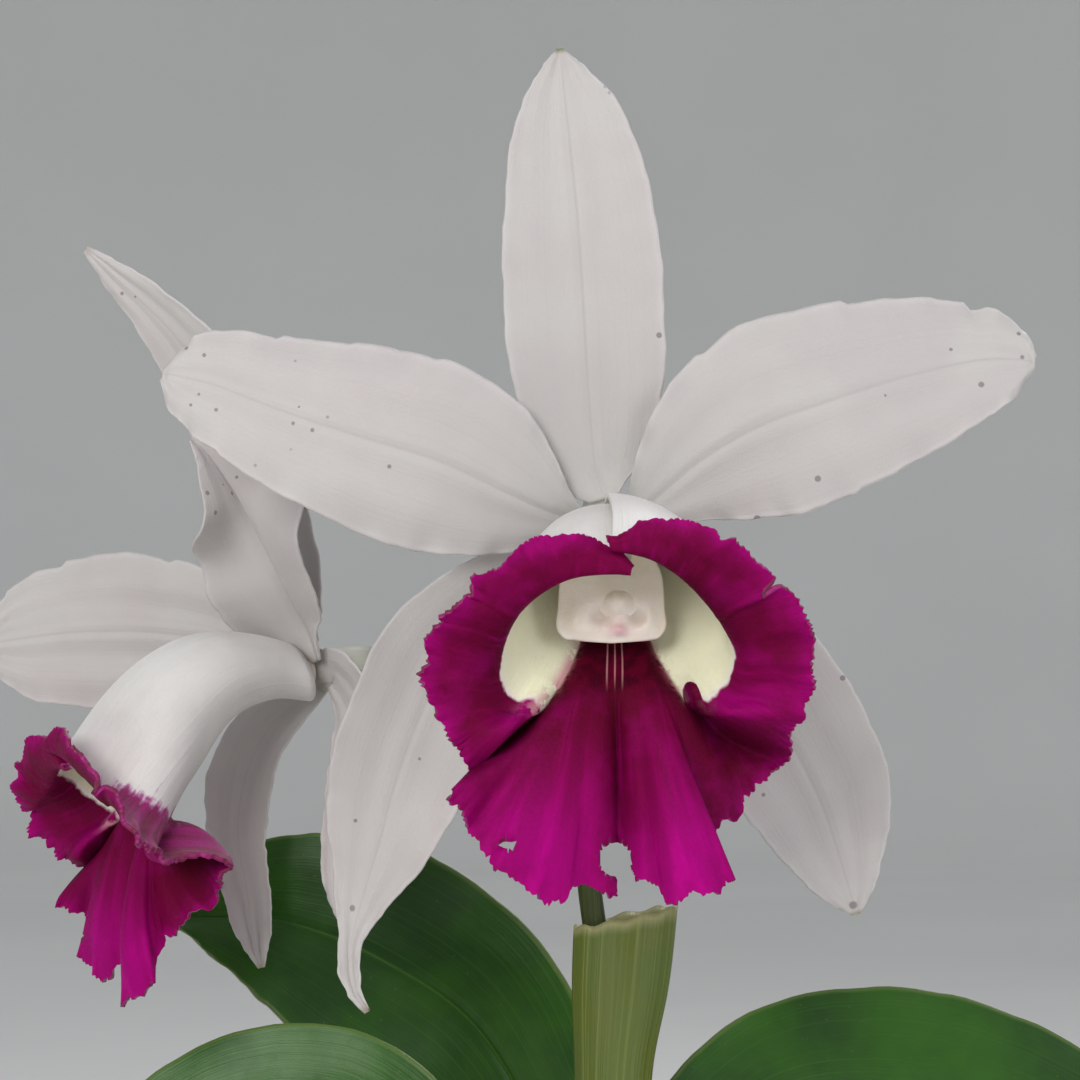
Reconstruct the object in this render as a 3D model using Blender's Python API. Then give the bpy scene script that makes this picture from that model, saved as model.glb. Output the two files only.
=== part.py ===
"""A cattleya orchid in flower, growing in bark in a plain clay pot.

The scene is in metres with +Z up. The sizes in this file are in millimetres and are turned into
metres when a mesh is made. The origin is the middle of the pot's underside, and the larger bloom
faces -Y.
"""

import math
import random

import bmesh
import bpy
import numpy as np
from mathutils import Vector

MM = 0.001
SEAM = 0.3
WELD = 1e-6
SMOOTH_ANGLE = math.radians(50.0)

# Each finish: its colour, as linear light, and its roughness
FINISHES = {
    "petal_white": ((0.56, 0.53, 0.53), 0.55),
    "lip_magenta": ((0.19, 0.0, 0.13), 0.5),
    "column_pale": ((0.47, 0.40, 0.35), 0.5),
    "anther_cream": ((0.52, 0.43, 0.38), 0.45),
    "stalk_olive": ((0.07, 0.11, 0.02), 0.5),
    "sheath_green": ((0.10, 0.14, 0.01), 0.5),
    "bulb_green": ((0.13, 0.20, 0.04), 0.45),
    "leaf_green": ((0.02, 0.09, 0.01), 0.3),
    "root_grey": ((0.42, 0.42, 0.34), 0.8),
    "bark_brown": ((0.16, 0.08, 0.04), 0.9),
    "clay": ((0.42, 0.17, 0.09), 0.85),
}

# The pot and what fills it
POT_HEIGHT = 100.0
POT_BASE_RADIUS = 43.0
POT_BODY_RADIUS = 56.0
POT_RIM_RADIUS = 61.0
POT_RIM_HEIGHT = 20.0
POT_WALL = 5.0
POT_FLOOR = 6.0
POT_SIDES = 48
POT_BEVEL = 1.5
POT_TAPER = 1.0
DRAIN_RADIUS = 4.5
DRAIN_RING = 22.0
DRAIN_HOLES = 4
DRAIN_SIDES = 12
BARK_TOP = 89.0
BARK_DIP = 4.0
BARK_EDGE_DIP = 1.5
BARK_SIDES = 40
BARK_RINGS = 9
# The bark is flat this near a stem or root, and at its full roughness this much further out
BARK_CALM = 4.0
BARK_BLEND = 6.0

# The blooms are drawn as they are seen from this point, in front of the plant
EYE = np.array([-10.5, -550.0, 310.2])
FRONT_BLOOM = np.array([-1.4, 0.0, 311.6])
SIDE_BLOOM = np.array([-43.6, 35.0, 290.5])
FLOWER_PITCH = math.radians(22.0)
SIDE_TURN = math.radians(-65.0)

BLADE_THICK = 0.9
LEAF_THICK = 1.6
BLADE_LENGTHS = 13
BLADE_WIDTHS = 4
# A blade's stations crowd towards its tip by this power
TIP_CROWDING = 1.3
LEAST_HALF_WIDTH = 0.5
BASE_RADIUS = 4.15
PETAL_ROOT_HALF = 1.5
SEPAL_ROOT_HALF = 2.0
# How far a blade is cupped and folded for each half-width, and how high its edge ripples
PETAL_BEND = (-0.10, 0.0, 0.5)
SEPAL_BEND = (0.12, 0.0, 0.2)
LEAF_BEND = (0.0, 0.28, 0.0)
EDGE_RIPPLES = 2.5

# Each row of a blade: how far right, up and forward of the bloom's middle its midrib is seen,
# then its half-widths on the side of the first edge and of the second
FRONT_TEPALS = {
    "dorsal_sepal": [
        (-1.4, 9.0, -0.2, 7.2, 7.2),
        (-2.3, 19.0, 0.4, 10.4, 10.4),
        (-3.0, 31.0, 1.6, 11.2, 11.2),
        (-3.9, 44.0, 2.2, 10.6, 10.6),
        (-5.2, 56.5, 2.0, 8.0, 8.0),
        (-6.0, 63.5, 1.6, 3.9, 3.9),
        (-6.3, 67.4, 1.4, 0.7, 0.7),
    ],
    "left_petal": [
        (-8.0, 2.6, 3.0, 5.6, 5.6),
        (-14.5, 5.6, 4.6, 10.4, 10.4),
        (-23.5, 9.8, 5.0, 13.1, 13.1),
        (-34.0, 13.0, 4.5, 12.7, 12.7),
        (-45.0, 16.6, 4.0, 10.7, 10.7),
        (-54.5, 20.2, 3.0, 8.0, 8.0),
        (-59.6, 21.4, 2.2, 5.0, 5.0),
        (-61.9, 21.9, 1.8, 1.0, 1.0),
    ],
    "right_petal": [
        (7.4, 4.6, 3.0, 5.2, 5.2),
        (13.6, 9.8, 4.6, 10.2, 10.2),
        (21.8, 14.6, 5.0, 13.6, 13.6),
        (31.8, 18.2, 4.5, 13.5, 13.5),
        (42.0, 21.4, 4.0, 11.4, 11.4),
        (51.6, 23.6, 3.0, 8.6, 8.6),
        (57.4, 23.8, 2.2, 5.8, 5.8),
        (60.2, 23.4, 1.8, 1.0, 1.0),
    ],
    "left_sepal": [
        (-12.5, -7.6, -2.6, 6.4, 6.4),
        (-21.0, -16.4, -4.5, 9.6, 9.6),
        (-26.0, -26.2, -6.5, 10.0, 10.0),
        (-29.4, -35.6, -8.5, 9.5, 9.5),
        (-31.4, -43.2, -9.5, 7.8, 7.8),
        (-33.6, -50.6, -10.0, 4.6, 4.6),
        (-35.3, -57.0, -9.5, 2.0, 2.0),
        (-35.2, -63.6, -8.0, 1.2, 1.2),
        (-33.2, -67.4, -6.0, 0.7, 0.7),
    ],
    "right_sepal": [
        (10.0, -8.4, -2.6, 6.4, 6.4),
        (18.8, -18.2, -4.5, 10.2, 10.2),
        (25.2, -28.4, -6.5, 11.0, 11.0),
        (29.9, -37.4, -8.0, 10.2, 10.2),
        (32.6, -45.2, -9.0, 7.0, 7.0),
        (34.3, -50.8, -9.4, 3.6, 3.6),
        (35.1, -53.8, -9.5, 0.8, 0.8),
    ],
}
SIDE_TEPALS = {
    "dorsal_sepal": [
        (-1.8, 8.5, -1.0, 4.8, 4.8),
        (-4.6, 18.5, 0.5, 8.6, 8.6),
        (-8.4, 29.5, 2.0, 10.2, 10.2),
        (-14.2, 40.5, 3.0, 9.4, 9.4),
        (-21.4, 50.6, 3.5, 7.0, 7.0),
        (-29.4, 58.4, 3.5, 3.6, 3.6),
        (-34.6, 63.0, 3.5, 0.7, 0.7),
    ],
    "near_petal": [
        (-2.8, 8.4, 3.6, 5.4, 5.4),
        (-6.4, 15.4, 6.5, 9.4, 9.4),
        (-10.0, 22.4, 8.5, 11.2, 11.2),
        (-13.4, 28.8, 10.5, 9.6, 9.6),
        (-16.6, 33.0, 12.0, 5.4, 5.4),
        (-18.6, 34.8, 13.0, 0.9, 0.9),
    ],
    "far_petal": [
        (-7.6, 2.6, -6.0, 4.6, 4.6),
        (-15.0, 4.8, -11.0, 9.2, 9.2),
        (-25.0, 6.0, -16.0, 11.4, 11.4),
        (-35.0, 6.0, -20.0, 11.6, 11.6),
        (-43.5, 5.0, -23.0, 9.4, 9.4),
        (-48.4, 4.2, -24.5, 4.6, 4.6),
        (-50.2, 4.0, -25.0, 1.0, 1.0),
    ],
    "far_sepal": [
        (-7.0, -8.2, -4.0, 4.6, 5.4),
        (-10.6, -16.0, -6.0, 6.0, 7.0),
        (-11.6, -24.0, -7.0, 5.6, 6.0),
        (-10.4, -31.6, -7.0, 4.6, 4.6),
        (-9.4, -38.6, -6.5, 3.0, 3.0),
        (-8.4, -44.0, -6.0, 0.9, 0.9),
    ],
    "near_sepal": [
        (3.2, -5.4, 3.0, 4.6, 4.6),
        (5.0, -12.0, 5.5, 6.0, 6.0),
        (4.6, -20.0, 7.5, 5.6, 5.6),
        (3.4, -27.5, 8.5, 4.4, 4.4),
        (3.4, -34.0, 9.0, 2.4, 2.4),
        (3.8, -38.0, 9.0, 0.9, 0.9),
    ],
}

# Where each blade leaves the flower's middle, as an angle from its right side, and its layer
FRONT_ROOTS = {
    "dorsal_sepal": (92.0, -1.1),
    "left_petal": (158.0, 0.3),
    "right_petal": (24.0, 0.3),
    "left_sepal": (212.0, -1.1),
    "right_sepal": (328.0, -1.1),
}
SIDE_ROOTS = {
    "dorsal_sepal": (90.0, -1.1),
    "near_petal": (32.0, 0.3),
    "far_petal": (148.0, 0.3),
    "far_sepal": (212.0, -1.1),
    "near_sepal": (328.0, -1.1),
}

# The way each blade's upper face looks at its root and at its tip
FRONT_FACES = {
    "dorsal_sepal": ((0.0, -1.0, -0.2), (0.1, -1.0, 0.1)),
    "left_petal": ((0.1, -1.0, -0.2), (0.2, -1.0, 0.25)),
    "right_petal": ((-0.1, -1.0, -0.2), (-0.2, -1.0, 0.3)),
    "left_sepal": ((0.1, -1.0, -0.3), (-0.3, -1.0, 0.1)),
    "right_sepal": ((-0.1, -1.0, -0.3), (0.2, -1.0, 0.1)),
}
SIDE_FACES = {
    "dorsal_sepal": ((-0.8, -0.6, -0.3), (-0.7, -0.8, 0.2)),
    "near_petal": ((-0.84, -0.39, -0.4), (-0.5, -0.9, 0.1)),
    "far_petal": ((-0.6, -0.7, -0.1), (-0.3, -1.0, 0.3)),
    "far_sepal": ((-0.8, -0.7, -0.2), (-0.5, -0.9, 0.1)),
    "near_sepal": ((-0.7, -0.7, -0.2), (-0.7, -0.7, 0.1)),
}

# The lip, rolled round the column from its left edge, under the throat, to its right edge. Each
# row: where the throat's rim is seen, where the frilled margin is seen, and how far the margin
# stands forward of the rim
LIP_ROWS = [
    (3.6, -5.6, 4.4, -5.4, 0.8),
    (-1.2, -5.8, 0.0, -2.6, 1.5),
    (-5.2, -6.6, -4.6, -0.6, 2.5),
    (-9.0, -8.6, -11.5, -2.0, 4.0),
    (-11.9, -11.2, -17.8, -6.6, 5.5),
    (-13.8, -14.5, -23.0, -12.2, 6.0),
    (-14.8, -18.2, -25.6, -17.6, 6.0),
    (-14.6, -21.4, -25.0, -23.0, 6.0),
    (-13.0, -23.8, -22.4, -28.4, 5.5),
    (-11.0, -24.6, -18.6, -33.6, 4.5),
    (-9.0, -24.8, -21.6, -37.4, 5.5),
    (-6.8, -25.0, -17.6, -44.0, 4.0),
    (-4.4, -25.0, -11.0, -50.2, 2.5),
    (-1.6, -25.0, -3.4, -51.0, 2.0),
    (1.4, -25.0, 1.4, -44.6, 1.0),
    (4.2, -25.0, 6.6, -49.6, 2.5),
    (7.0, -25.0, 15.4, -49.0, 4.5),
    (9.6, -24.8, 14.6, -42.6, 0.0),
    (12.0, -24.4, 20.0, -37.6, -4.0),
    (14.2, -23.8, 25.4, -31.4, -4.0),
    (15.8, -22.8, 25.8, -27.4, 0.0),
    (17.6, -20.8, 29.0, -22.6, 4.5),
    (18.4, -17.6, 29.3, -15.6, 6.0),
    (17.2, -14.2, 27.6, -9.6, 6.0),
    (14.6, -10.4, 22.6, -4.4, 5.5),
    (11.2, -6.8, 16.4, -0.2, 4.0),
    (7.4, -4.2, 10.0, 1.4, 2.5),
    (3.8, -3.0, 4.8, 1.2, 1.5),
    (0.8, -2.4, 0.2, -0.8, 0.8),
]
THROAT_MIDDLE = (1.6, -14.0)
THROAT_HALF = (16.7, 10.5)
THROAT_DEPTH = 34.0
THROAT_SLOPE = 0.6
# Rings of the lip's tube behind the throat: middle right, up and forward, half-width,
# half-height, and how much the ring leans forward at its top
LIP_RINGS = [
    (0.1, -0.9, 2.9, 4.4, 4.1, 0.35),
    (0.3, -0.9, 9.0, 6.8, 4.9, 0.30),
    (0.6, -2.9, 17.5, 10.3, 6.9, 0.35),
    (1.1, -7.8, 26.0, 13.7, 9.1, 0.55),
]
# The side bloom's lip and column are this much lower in shape, and rise and then sink by these
# factors of the distance forward, of its square and of its cube
SIDE_SQUASH = 0.87
SIDE_ARCH = (0.174, 0.0017, -0.000316)
SIDE_ARCH_END = 38.0
LIP_OVERLAP = 0.75
LIP_ROUND = 72
LIP_LONG = 9
LIP_RIM = 4.0 / 6.0
LIP_BAND_PUSH = 1.2
FRILL_WAVES = 11
FRILL_DEPTH = 1.2
TOOTH_DEPTH = 0.5

# The column: half-width and half-height at its root, and what they gain by its end
COLUMN_LENGTH = 26.5
COLUMN_DROP = 10.2
COLUMN_START = 0.7
COLUMN_ROOT_DROP = 0.3
COLUMN_SHIFT = 0.9
COLUMN_ROOT = 2.5
COLUMN_FLARE = (4.6, 2.7)
COLUMN_SIDES = 16
COLUMN_STEPS = 8
# The anther cap: its middle to the right and up, its two half-sizes and its height
CAP_MIDDLE = (1.3, -9.6)
CAP_HALF = (2.8, 2.3)
CAP_HEIGHT = 1.6
CAP_FLAT = 0.25
CAP_SIDES = 14
CAP_STEPS = 8

# Paths of the leaves: right, back, up, then the half-width on each side of the rib
LEAF_ROWS = {
    "leaf_1": [
        (2.0, 25.6, 183.7, 3.6, 3.6),
        (6.0, 29.0, 203.0, 7.0, 7.0),
        (14.5, 31.0, 218.0, 12.0, 12.0),
        (29.0, 31.0, 226.5, 15.5, 15.5),
        (49.0, 30.0, 226.0, 16.5, 16.5),
        (70.0, 28.0, 219.0, 13.5, 13.5),
        (86.0, 26.5, 208.0, 7.5, 7.5),
        (94.0, 26.0, 200.0, 1.2, 1.2),
    ],
    "leaf_2": [
        (-6.0, 42.5, 172.6, 3.6, 3.6),
        (-5.5, 45.0, 195.0, 7.0, 7.0),
        (-9.0, 46.5, 216.0, 12.0, 12.0),
        (-20.0, 47.0, 236.0, 16.0, 16.0),
        (-36.0, 48.0, 247.0, 17.0, 17.0),
        (-50.0, 49.0, 252.0, 13.0, 13.0),
        (-60.0, 50.0, 252.5, 7.0, 7.0),
        (-66.0, 50.0, 252.0, 1.2, 1.2),
    ],
    "leaf_3": [
        (-24.0, -3.5, 165.5, 3.6, 3.6),
        (-23.0, 0.0, 188.0, 7.0, 7.0),
        (-25.5, 3.0, 208.0, 12.0, 12.0),
        (-35.0, 6.0, 222.0, 15.5, 15.5),
        (-50.0, 8.0, 225.0, 15.5, 15.5),
        (-66.0, 8.0, 218.0, 12.0, 12.0),
        (-78.0, 7.0, 207.0, 6.5, 6.5),
        (-84.0, 6.0, 199.0, 1.2, 1.2),
    ],
    "leaf_4": [
        (34.0, 34.0, 150.8, 3.4, 3.4),
        (38.0, 41.0, 168.0, 7.0, 7.0),
        (48.0, 54.0, 184.0, 12.0, 12.0),
        (61.0, 67.0, 193.0, 15.0, 15.0),
        (76.0, 80.0, 194.0, 14.0, 14.0),
        (90.0, 91.0, 187.0, 9.0, 9.0),
        (99.0, 98.0, 178.0, 1.2, 1.2),
    ],
}
LEAF_FACES = {
    "leaf_1": ((0.2, -1.0, 0.0), (0.1, -0.6, 0.9)),
    "leaf_2": ((-0.4, -1.0, 0.0), (-0.1, -0.9, 0.5)),
    "leaf_3": ((-0.5, -1.0, 0.0), (0.0, -0.7, 0.8)),
    "leaf_4": ((-0.7, -0.7, 0.3), (0.3, 0.3, 1.0)),
}
# Each growth creeps from where the older one stands, then turns up into a pseudobulb: its foot
# where it starts, its foot below the bulb, its top, and the bulb's greatest radius
GROWTHS = {
    "pseudobulb_1": ((0.6, 31.0), (4.0, 12.0), (1.6, 21.5, 183.0), 9.0),
    "pseudobulb_2": ((21.5, 31.0), (0.0, 38.0), (-6.0, 42.5, 172.0), 8.6),
    "pseudobulb_3": ((-4.0, 8.0), (-20.0, -7.0), (-24.0, -3.5, 165.0), 8.6),
    "pseudobulb_4": ((39.0, 17.0), (30.0, 28.0), (34.0, 34.0, 150.0), 8.2),
}
CREEP_RADIUS = 3.6
CREEP_LIFT = 0.4
CREEP_TURN = 0.6
BULB_FOOT_LIFT = 7.0
# How a pseudobulb swells: share of its height, then share of its greatest radius
BULB_SWELL = ((0.25, 0.78), (0.45, 0.97), (0.65, 1.0), (0.85, 0.84))
BULB_NECK = 5.2
BULB_RIBS = 7
BULB_RIB_DEPTH = 0.05
BULB_SIDES = 14
BULB_STEPS = 15

# The flat sheath round the stalk's foot: right, back, up, half-width and half-thickness
SHEATH_ROWS = [
    (1.2, 19.0, 183.4, 3.6, 2.6),
    (0.6, 19.6, 200.0, 4.6, 3.6),
    (0.0, 20.4, 218.0, 5.0, 4.2),
    (0.2, 21.2, 233.0, 5.4, 4.4),
    (1.2, 21.8, 245.0, 6.7, 4.5),
    (2.0, 22.0, 255.5, 7.2, 4.2),
]
SHEATH_WALL = 0.9
SHEATH_POCKET = 0.35
SHEATH_CORNER = 1.5
SHEATH_SIDES = 18
SHEATH_STEPS = 17
# The share of the sheath's rows of points that lies on its outside
SHEATH_OUTSIDE = 0.6

STALK_SIDES = 8
STALK_STEPS = 24
BRANCH_STEPS = 13
STALK_ROWS = [
    (0.0, 20.4, 215.5, 1.75),
    (-0.4, 21.2, 232.0, 1.75),
    (-1.6, 22.2, 247.0, 1.75),
    (-3.4, 23.5, 262.0, 1.75),
    (-3.0, 26.0, 280.0, 1.9),
    (-2.2, 26.0, 297.0, 2.2),
    (-1.6, 19.5, 311.0, 2.6),
    (-1.45, 11.0, 314.6, 3.0),
    (-1.4, 4.8, 313.5, 3.4),
    (-1.4, 0.6, 311.85, 3.7),
]
BRANCH_ROWS = [
    (-3.2, 25.4, 276.0, 1.5),
    (-10.0, 28.5, 281.5, 1.7),
    (-20.0, 33.5, 287.5, 1.9),
    (-29.5, 37.6, 292.6, 2.3),
    (-36.8, 38.2, 293.7, 2.9),
    (-43.1, 35.25, 290.75, 3.3),
]

# Roots creep over the bark from the foot of a growth: points to the right and back
ROOT_PATHS = {
    "root_1": [(-12.0, 8.5), (-24.0, 14.0), (-33.0, 22.0), (-36.0, 33.0)],
    "root_2": [(13.5, 13.0), (24.0, 6.0), (36.0, 6.0), (44.0, -3.0)],
    "root_3": [(-16.0, -18.0), (-8.0, -28.0), (3.0, -32.0), (12.0, -40.0)],
}
ROOT_RADIUS = 1.6
ROOT_SIDES = 6
ROOT_STEPS = 14


def material(name):
    found = bpy.data.materials.get(name)
    if found:
        return found
    colour, roughness = FINISHES[name]
    made = bpy.data.materials.new(name)
    made.use_nodes = True
    shader = made.node_tree.nodes["Principled BSDF"]
    shader.inputs["Base Color"].default_value = (*colour, 1.0)
    shader.inputs["Roughness"].default_value = roughness
    shader.inputs["Metallic"].default_value = 0.0
    return made


def add(name, bm, finish):
    """Turns a bmesh into an object of the scene."""
    mesh = bpy.data.meshes.new(name)
    bm.to_mesh(mesh)
    bm.free()
    mesh.shade_smooth()
    mesh.set_sharp_from_angle(angle=SMOOTH_ANGLE)
    obj = bpy.data.objects.new(name, mesh)
    bpy.context.scene.collection.objects.link(obj)
    obj.data.materials.append(material(finish))
    return obj


def along(rows, t):
    """The smooth curve through the rows, at t from 0 to 1."""
    rows = np.asarray(rows, float)
    spans = len(rows) - 1
    i = min(int(t * spans), spans - 1)
    f = t * spans - i
    here, there = rows[i], rows[i + 1]
    before = rows[i - 1] if i else 2.0 * here - there
    after = rows[i + 2] if i + 2 <= spans else 2.0 * there - here
    return 0.5 * (
        2.0 * here
        + (there - before) * f
        + (2.0 * before - 5.0 * here + 4.0 * there - after) * f * f
        + (3.0 * here - 3.0 * there + after - before) * f**3
    )


def unit(vector):
    return vector / np.linalg.norm(vector)


def seen(bloom, right, up, forward):
    """The point that is seen this far from a bloom's middle and stands this far in front of it."""
    nearer = (bloom[1] - forward - EYE[1]) / (bloom[1] - EYE[1])
    x = EYE[0] + (bloom[0] + right - EYE[0]) * nearer
    z = EYE[2] + (bloom[2] + up - EYE[2]) * nearer
    return np.array([x, bloom[1] - forward, z])


def skin(around, lengths, place):
    """A grid whose points are set by place(u, v), with u and v from 0 to 1."""
    bm = bmesh.new()
    bmesh.ops.create_grid(bm, x_segments=around, y_segments=lengths, size=0.5)
    reach = bm.verts.layers.float.new("reach")
    for vert in bm.verts:
        vert[reach] = vert.co.y + 0.5
        vert.co = Vector(place(vert.co.x + 0.5, vert.co.y + 0.5)) * MM
    bmesh.ops.remove_doubles(bm, verts=bm.verts, dist=WELD)
    bmesh.ops.triangulate(bm, faces=bm.faces)
    bmesh.ops.recalc_face_normals(bm, faces=bm.faces)
    return bm


def thicken(obj, thickness):
    """Gives a blade its thickness, half on each side. Both faces keep the same triangles."""
    wall = obj.modifiers.new("Thickness", "SOLIDIFY")
    wall.thickness = thickness * MM
    wall.offset = 0.0


def frame_at(rows, t, face):
    """The point on a path, the direction across it and the direction it faces."""
    step = 0.01
    path = [row[:3] for row in rows]
    ahead = along(path, min(t + step, 1.0)) - along(path, max(t - step, 0.0))
    tangent = unit(ahead)
    across = unit(np.cross(tangent, face))
    return along(path, t), across, np.cross(across, tangent)


def blade_point(rows, faces, bend, u, v):
    """A point of a blade: u runs across it and v from its root to its tip."""
    t = 1.0 - (1.0 - v) ** TIP_CROWDING
    face = unit(np.array(faces[0]) * (1.0 - t) + np.array(faces[1]) * t)
    middle, across, up = frame_at(rows, t, face)
    row = along(rows, t)
    half = max(row[3] if u < 0.5 else row[4], LEAST_HALF_WIDTH)
    side = 2.0 * u - 1.0
    cup, fold, ripple = bend
    rise = cup * half * side * side + fold * half * abs(side)
    rise += ripple * side * side * math.sin(2.0 * math.pi * EDGE_RIPPLES * t + 2.0 * side)
    return middle + across * half * side + up * rise


def blade(name, rows, faces, bend, thickness, finish):
    bm = skin(
        BLADE_WIDTHS, BLADE_LENGTHS, lambda u, v: blade_point(rows, faces, bend, u, v)
    )
    obj = add(name, bm, finish)
    thicken(obj, thickness)
    return obj


def flower_axes(turn):
    """A flower's right, up and forward directions, with its face turned and pitched down."""
    right = np.array([math.cos(turn), math.sin(turn), 0.0])
    level = np.array([math.sin(turn), -math.cos(turn), 0.0])
    up = np.array([0.0, 0.0, 1.0])
    forward = level * math.cos(FLOWER_PITCH) - up * math.sin(FLOWER_PITCH)
    return right, np.cross(forward, right), forward


def root_row(bloom, turn, angle, layer, half):
    """The first row of a blade, beside the end of the flower's stalk."""
    right, up, forward = flower_axes(turn)
    angle = math.radians(angle)
    spoke = right * math.cos(angle) + up * math.sin(angle)
    return (*(bloom + spoke * BASE_RADIUS + forward * layer), half, half)


def tepals(bloom, turn, number, tables, roots, faces):
    """The three sepals and two petals of one bloom."""
    for name, table in tables.items():
        petal = "petal" in name
        angle, layer = roots[name]
        half = PETAL_ROOT_HALF if petal else SEPAL_ROOT_HALF
        rows = [root_row(bloom, turn, angle, layer, half)]
        rows += [(*seen(bloom, *row[:3]), row[3], row[4]) for row in table]
        bend = PETAL_BEND if petal else SEPAL_BEND
        blade(f"{name}_{number}", rows, faces[name], bend, BLADE_THICK, "petal_white")


def lip_point(u, v):
    """A point of the front bloom's lip: u runs round it and v from its root to its margin."""
    fold_x, fold_z, edge_x, edge_z, lift = along(LIP_ROWS, u)
    depth = THROAT_DEPTH + THROAT_SLOPE * (fold_z - THROAT_MIDDLE[1])
    fold = seen(FRONT_BLOOM, fold_x, fold_z, depth) - FRONT_BLOOM
    edge = seen(FRONT_BLOOM, edge_x, edge_z, depth + lift) - FRONT_BLOOM
    angle = lip_angle(u)
    stations = []
    for x, z, forward, half_x, half_z, lean in LIP_RINGS:
        roll = LIP_OVERLAP * (2.0 * u - 1.0)
        side = (half_x + roll) * math.cos(angle)
        rise = (half_z + roll) * math.sin(angle)
        stations.append(np.array([x + side, -forward - lean * rise, z + rise]))
    band = 0.5 * (fold + edge) + np.array([0.0, -LIP_BAND_PUSH, 0.0])
    point = along([*stations, fold, band, edge], v)
    spread = max(0.0, (v - LIP_RIM) / (1.0 - LIP_RIM))
    taper = max(0.0, math.sin(math.pi * u)) ** 0.5
    wave = FRILL_DEPTH * taper * spread**2 * math.sin(2.0 * math.pi * FRILL_WAVES * u)
    if v == 1.0 and round(u * LIP_ROUND) % 2:
        point = point + unit(fold - edge) * TOOTH_DEPTH * taper
    return point + np.array([0.0, wave, 0.0])


def lip_angle(u):
    """The angle round the throat of a place on its rim. It grows past a full turn."""
    angles = []
    for row in LIP_ROWS:
        x = (row[0] - THROAT_MIDDLE[0]) / THROAT_HALF[0]
        z = (row[1] - THROAT_MIDDLE[1]) / THROAT_HALF[1]
        angles.append(math.atan2(z, x))
    return float(along([[angle] for angle in np.unwrap(angles)], u)[0])


def turned(point, turn):
    x, y, z = point
    return np.array(
        [
            x * math.cos(turn) - y * math.sin(turn),
            x * math.sin(turn) + y * math.cos(turn),
            z,
        ]
    )


def settled(point, turn):
    """A point of a lip or column, turned; those of the side bloom also arch."""
    x, y, z = point
    if turn:
        reach = min(max(-y, 0.0), SIDE_ARCH_END)
        z = SIDE_SQUASH * z + sum(factor * reach**power for power, factor in enumerate(SIDE_ARCH, 1))
    return turned((x, y, z), turn)


def lip(bloom, turn, number):
    bm = skin(
        LIP_ROUND, LIP_LONG, lambda u, v: bloom + settled(lip_point(u, v), turn)
    )
    reach = bm.verts.layers.float["reach"]
    for face in bm.faces:
        limb = sum(vert[reach] for vert in face.verts) / 3.0 > LIP_RIM
        face.material_index = int(limb)
    obj = add(f"lip_{number}", bm, "petal_white")
    obj.data.materials.append(material("lip_magenta"))
    thicken(obj, BLADE_THICK)


def tube(name, sides, lengths, ring, finish):
    """A closed round body: ring(v) gives its middle, its two half-axes and their directions."""

    def place(u, v):
        span = min(max((v * (lengths + 2) - 1.0) / lengths, 0.0), 1.0)
        middle, across, up = ring(span)
        if v in (0.0, 1.0):
            return middle
        angle = 2.0 * math.pi * u
        return middle + across * math.cos(angle) + up * math.sin(angle)

    return add(name, skin(sides, lengths + 2, place), finish)


def swept(rows, upright):
    """A ring function for a round tube along the rows, whose fourth value is the radius."""

    def ring(v):
        middle, across, up = frame_at(rows, v, np.array(upright))
        radius = along(rows, v)[3]
        return middle, across * radius, -up * radius

    return ring


def column(bloom, turn, number):
    """The club at the flower's middle, wider and flatter towards its end."""

    def ring(v):
        forward = COLUMN_START + (COLUMN_LENGTH - COLUMN_START) * v
        drop = COLUMN_ROOT_DROP + COLUMN_DROP * v**1.3
        wide = COLUMN_ROOT + COLUMN_FLARE[0] * v**1.6
        tall = COLUMN_ROOT + COLUMN_FLARE[1] * v**1.4
        tall *= SIDE_SQUASH if turn else 1.0
        middle = bloom + settled((COLUMN_SHIFT * v, -forward, -drop), turn)
        return middle, turned((wide, 0, 0), turn), turned((0, 0, tall), turn)

    tube(f"column_{number}", COLUMN_SIDES, COLUMN_STEPS, ring, "column_pale")


def anther_cap(bloom, turn, number):
    """The small domed cap on the column's end."""
    back = -COLUMN_LENGTH - SEAM

    def place(u, v):
        angle = 2.0 * math.pi * u
        if v < CAP_FLAT:
            reach, out = v / CAP_FLAT, 0.0
        else:
            swing = (v - CAP_FLAT) / (1.0 - CAP_FLAT) * math.pi / 2.0
            reach, out = math.cos(swing), math.sin(swing)
        reach = 0.0 if v == 1.0 else reach
        x = CAP_MIDDLE[0] + CAP_HALF[0] * reach * math.cos(angle)
        z = CAP_MIDDLE[1] + CAP_HALF[1] * reach * math.sin(angle)
        return bloom + settled((x, back - CAP_HEIGHT * out, z), turn)

    add(f"anther_cap_{number}", skin(CAP_SIDES, CAP_STEPS, place), "anther_cream")


def stalk():
    """The flower stalk and its side branch, joined in one piece."""
    ring = swept(STALK_ROWS, (0.0, -0.3, -1.0))
    stem = tube("flower_stalk", STALK_SIDES, STALK_STEPS, ring, "stalk_olive")
    ring = swept(BRANCH_ROWS, (0.0, -1.0, 0.3))
    branch = tube("branch", STALK_SIDES, BRANCH_STEPS, ring, "stalk_olive")
    join = stem.modifiers.new("Branch", "BOOLEAN")
    join.operation = "UNION"
    join.object = branch
    apply_modifiers(stem)
    bpy.data.objects.remove(branch)


def apply_modifiers(obj):
    graph = bpy.context.evaluated_depsgraph_get()
    mesh = bpy.data.meshes.new_from_object(obj.evaluated_get(graph))
    obj.modifiers.clear()
    obj.data = mesh


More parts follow.
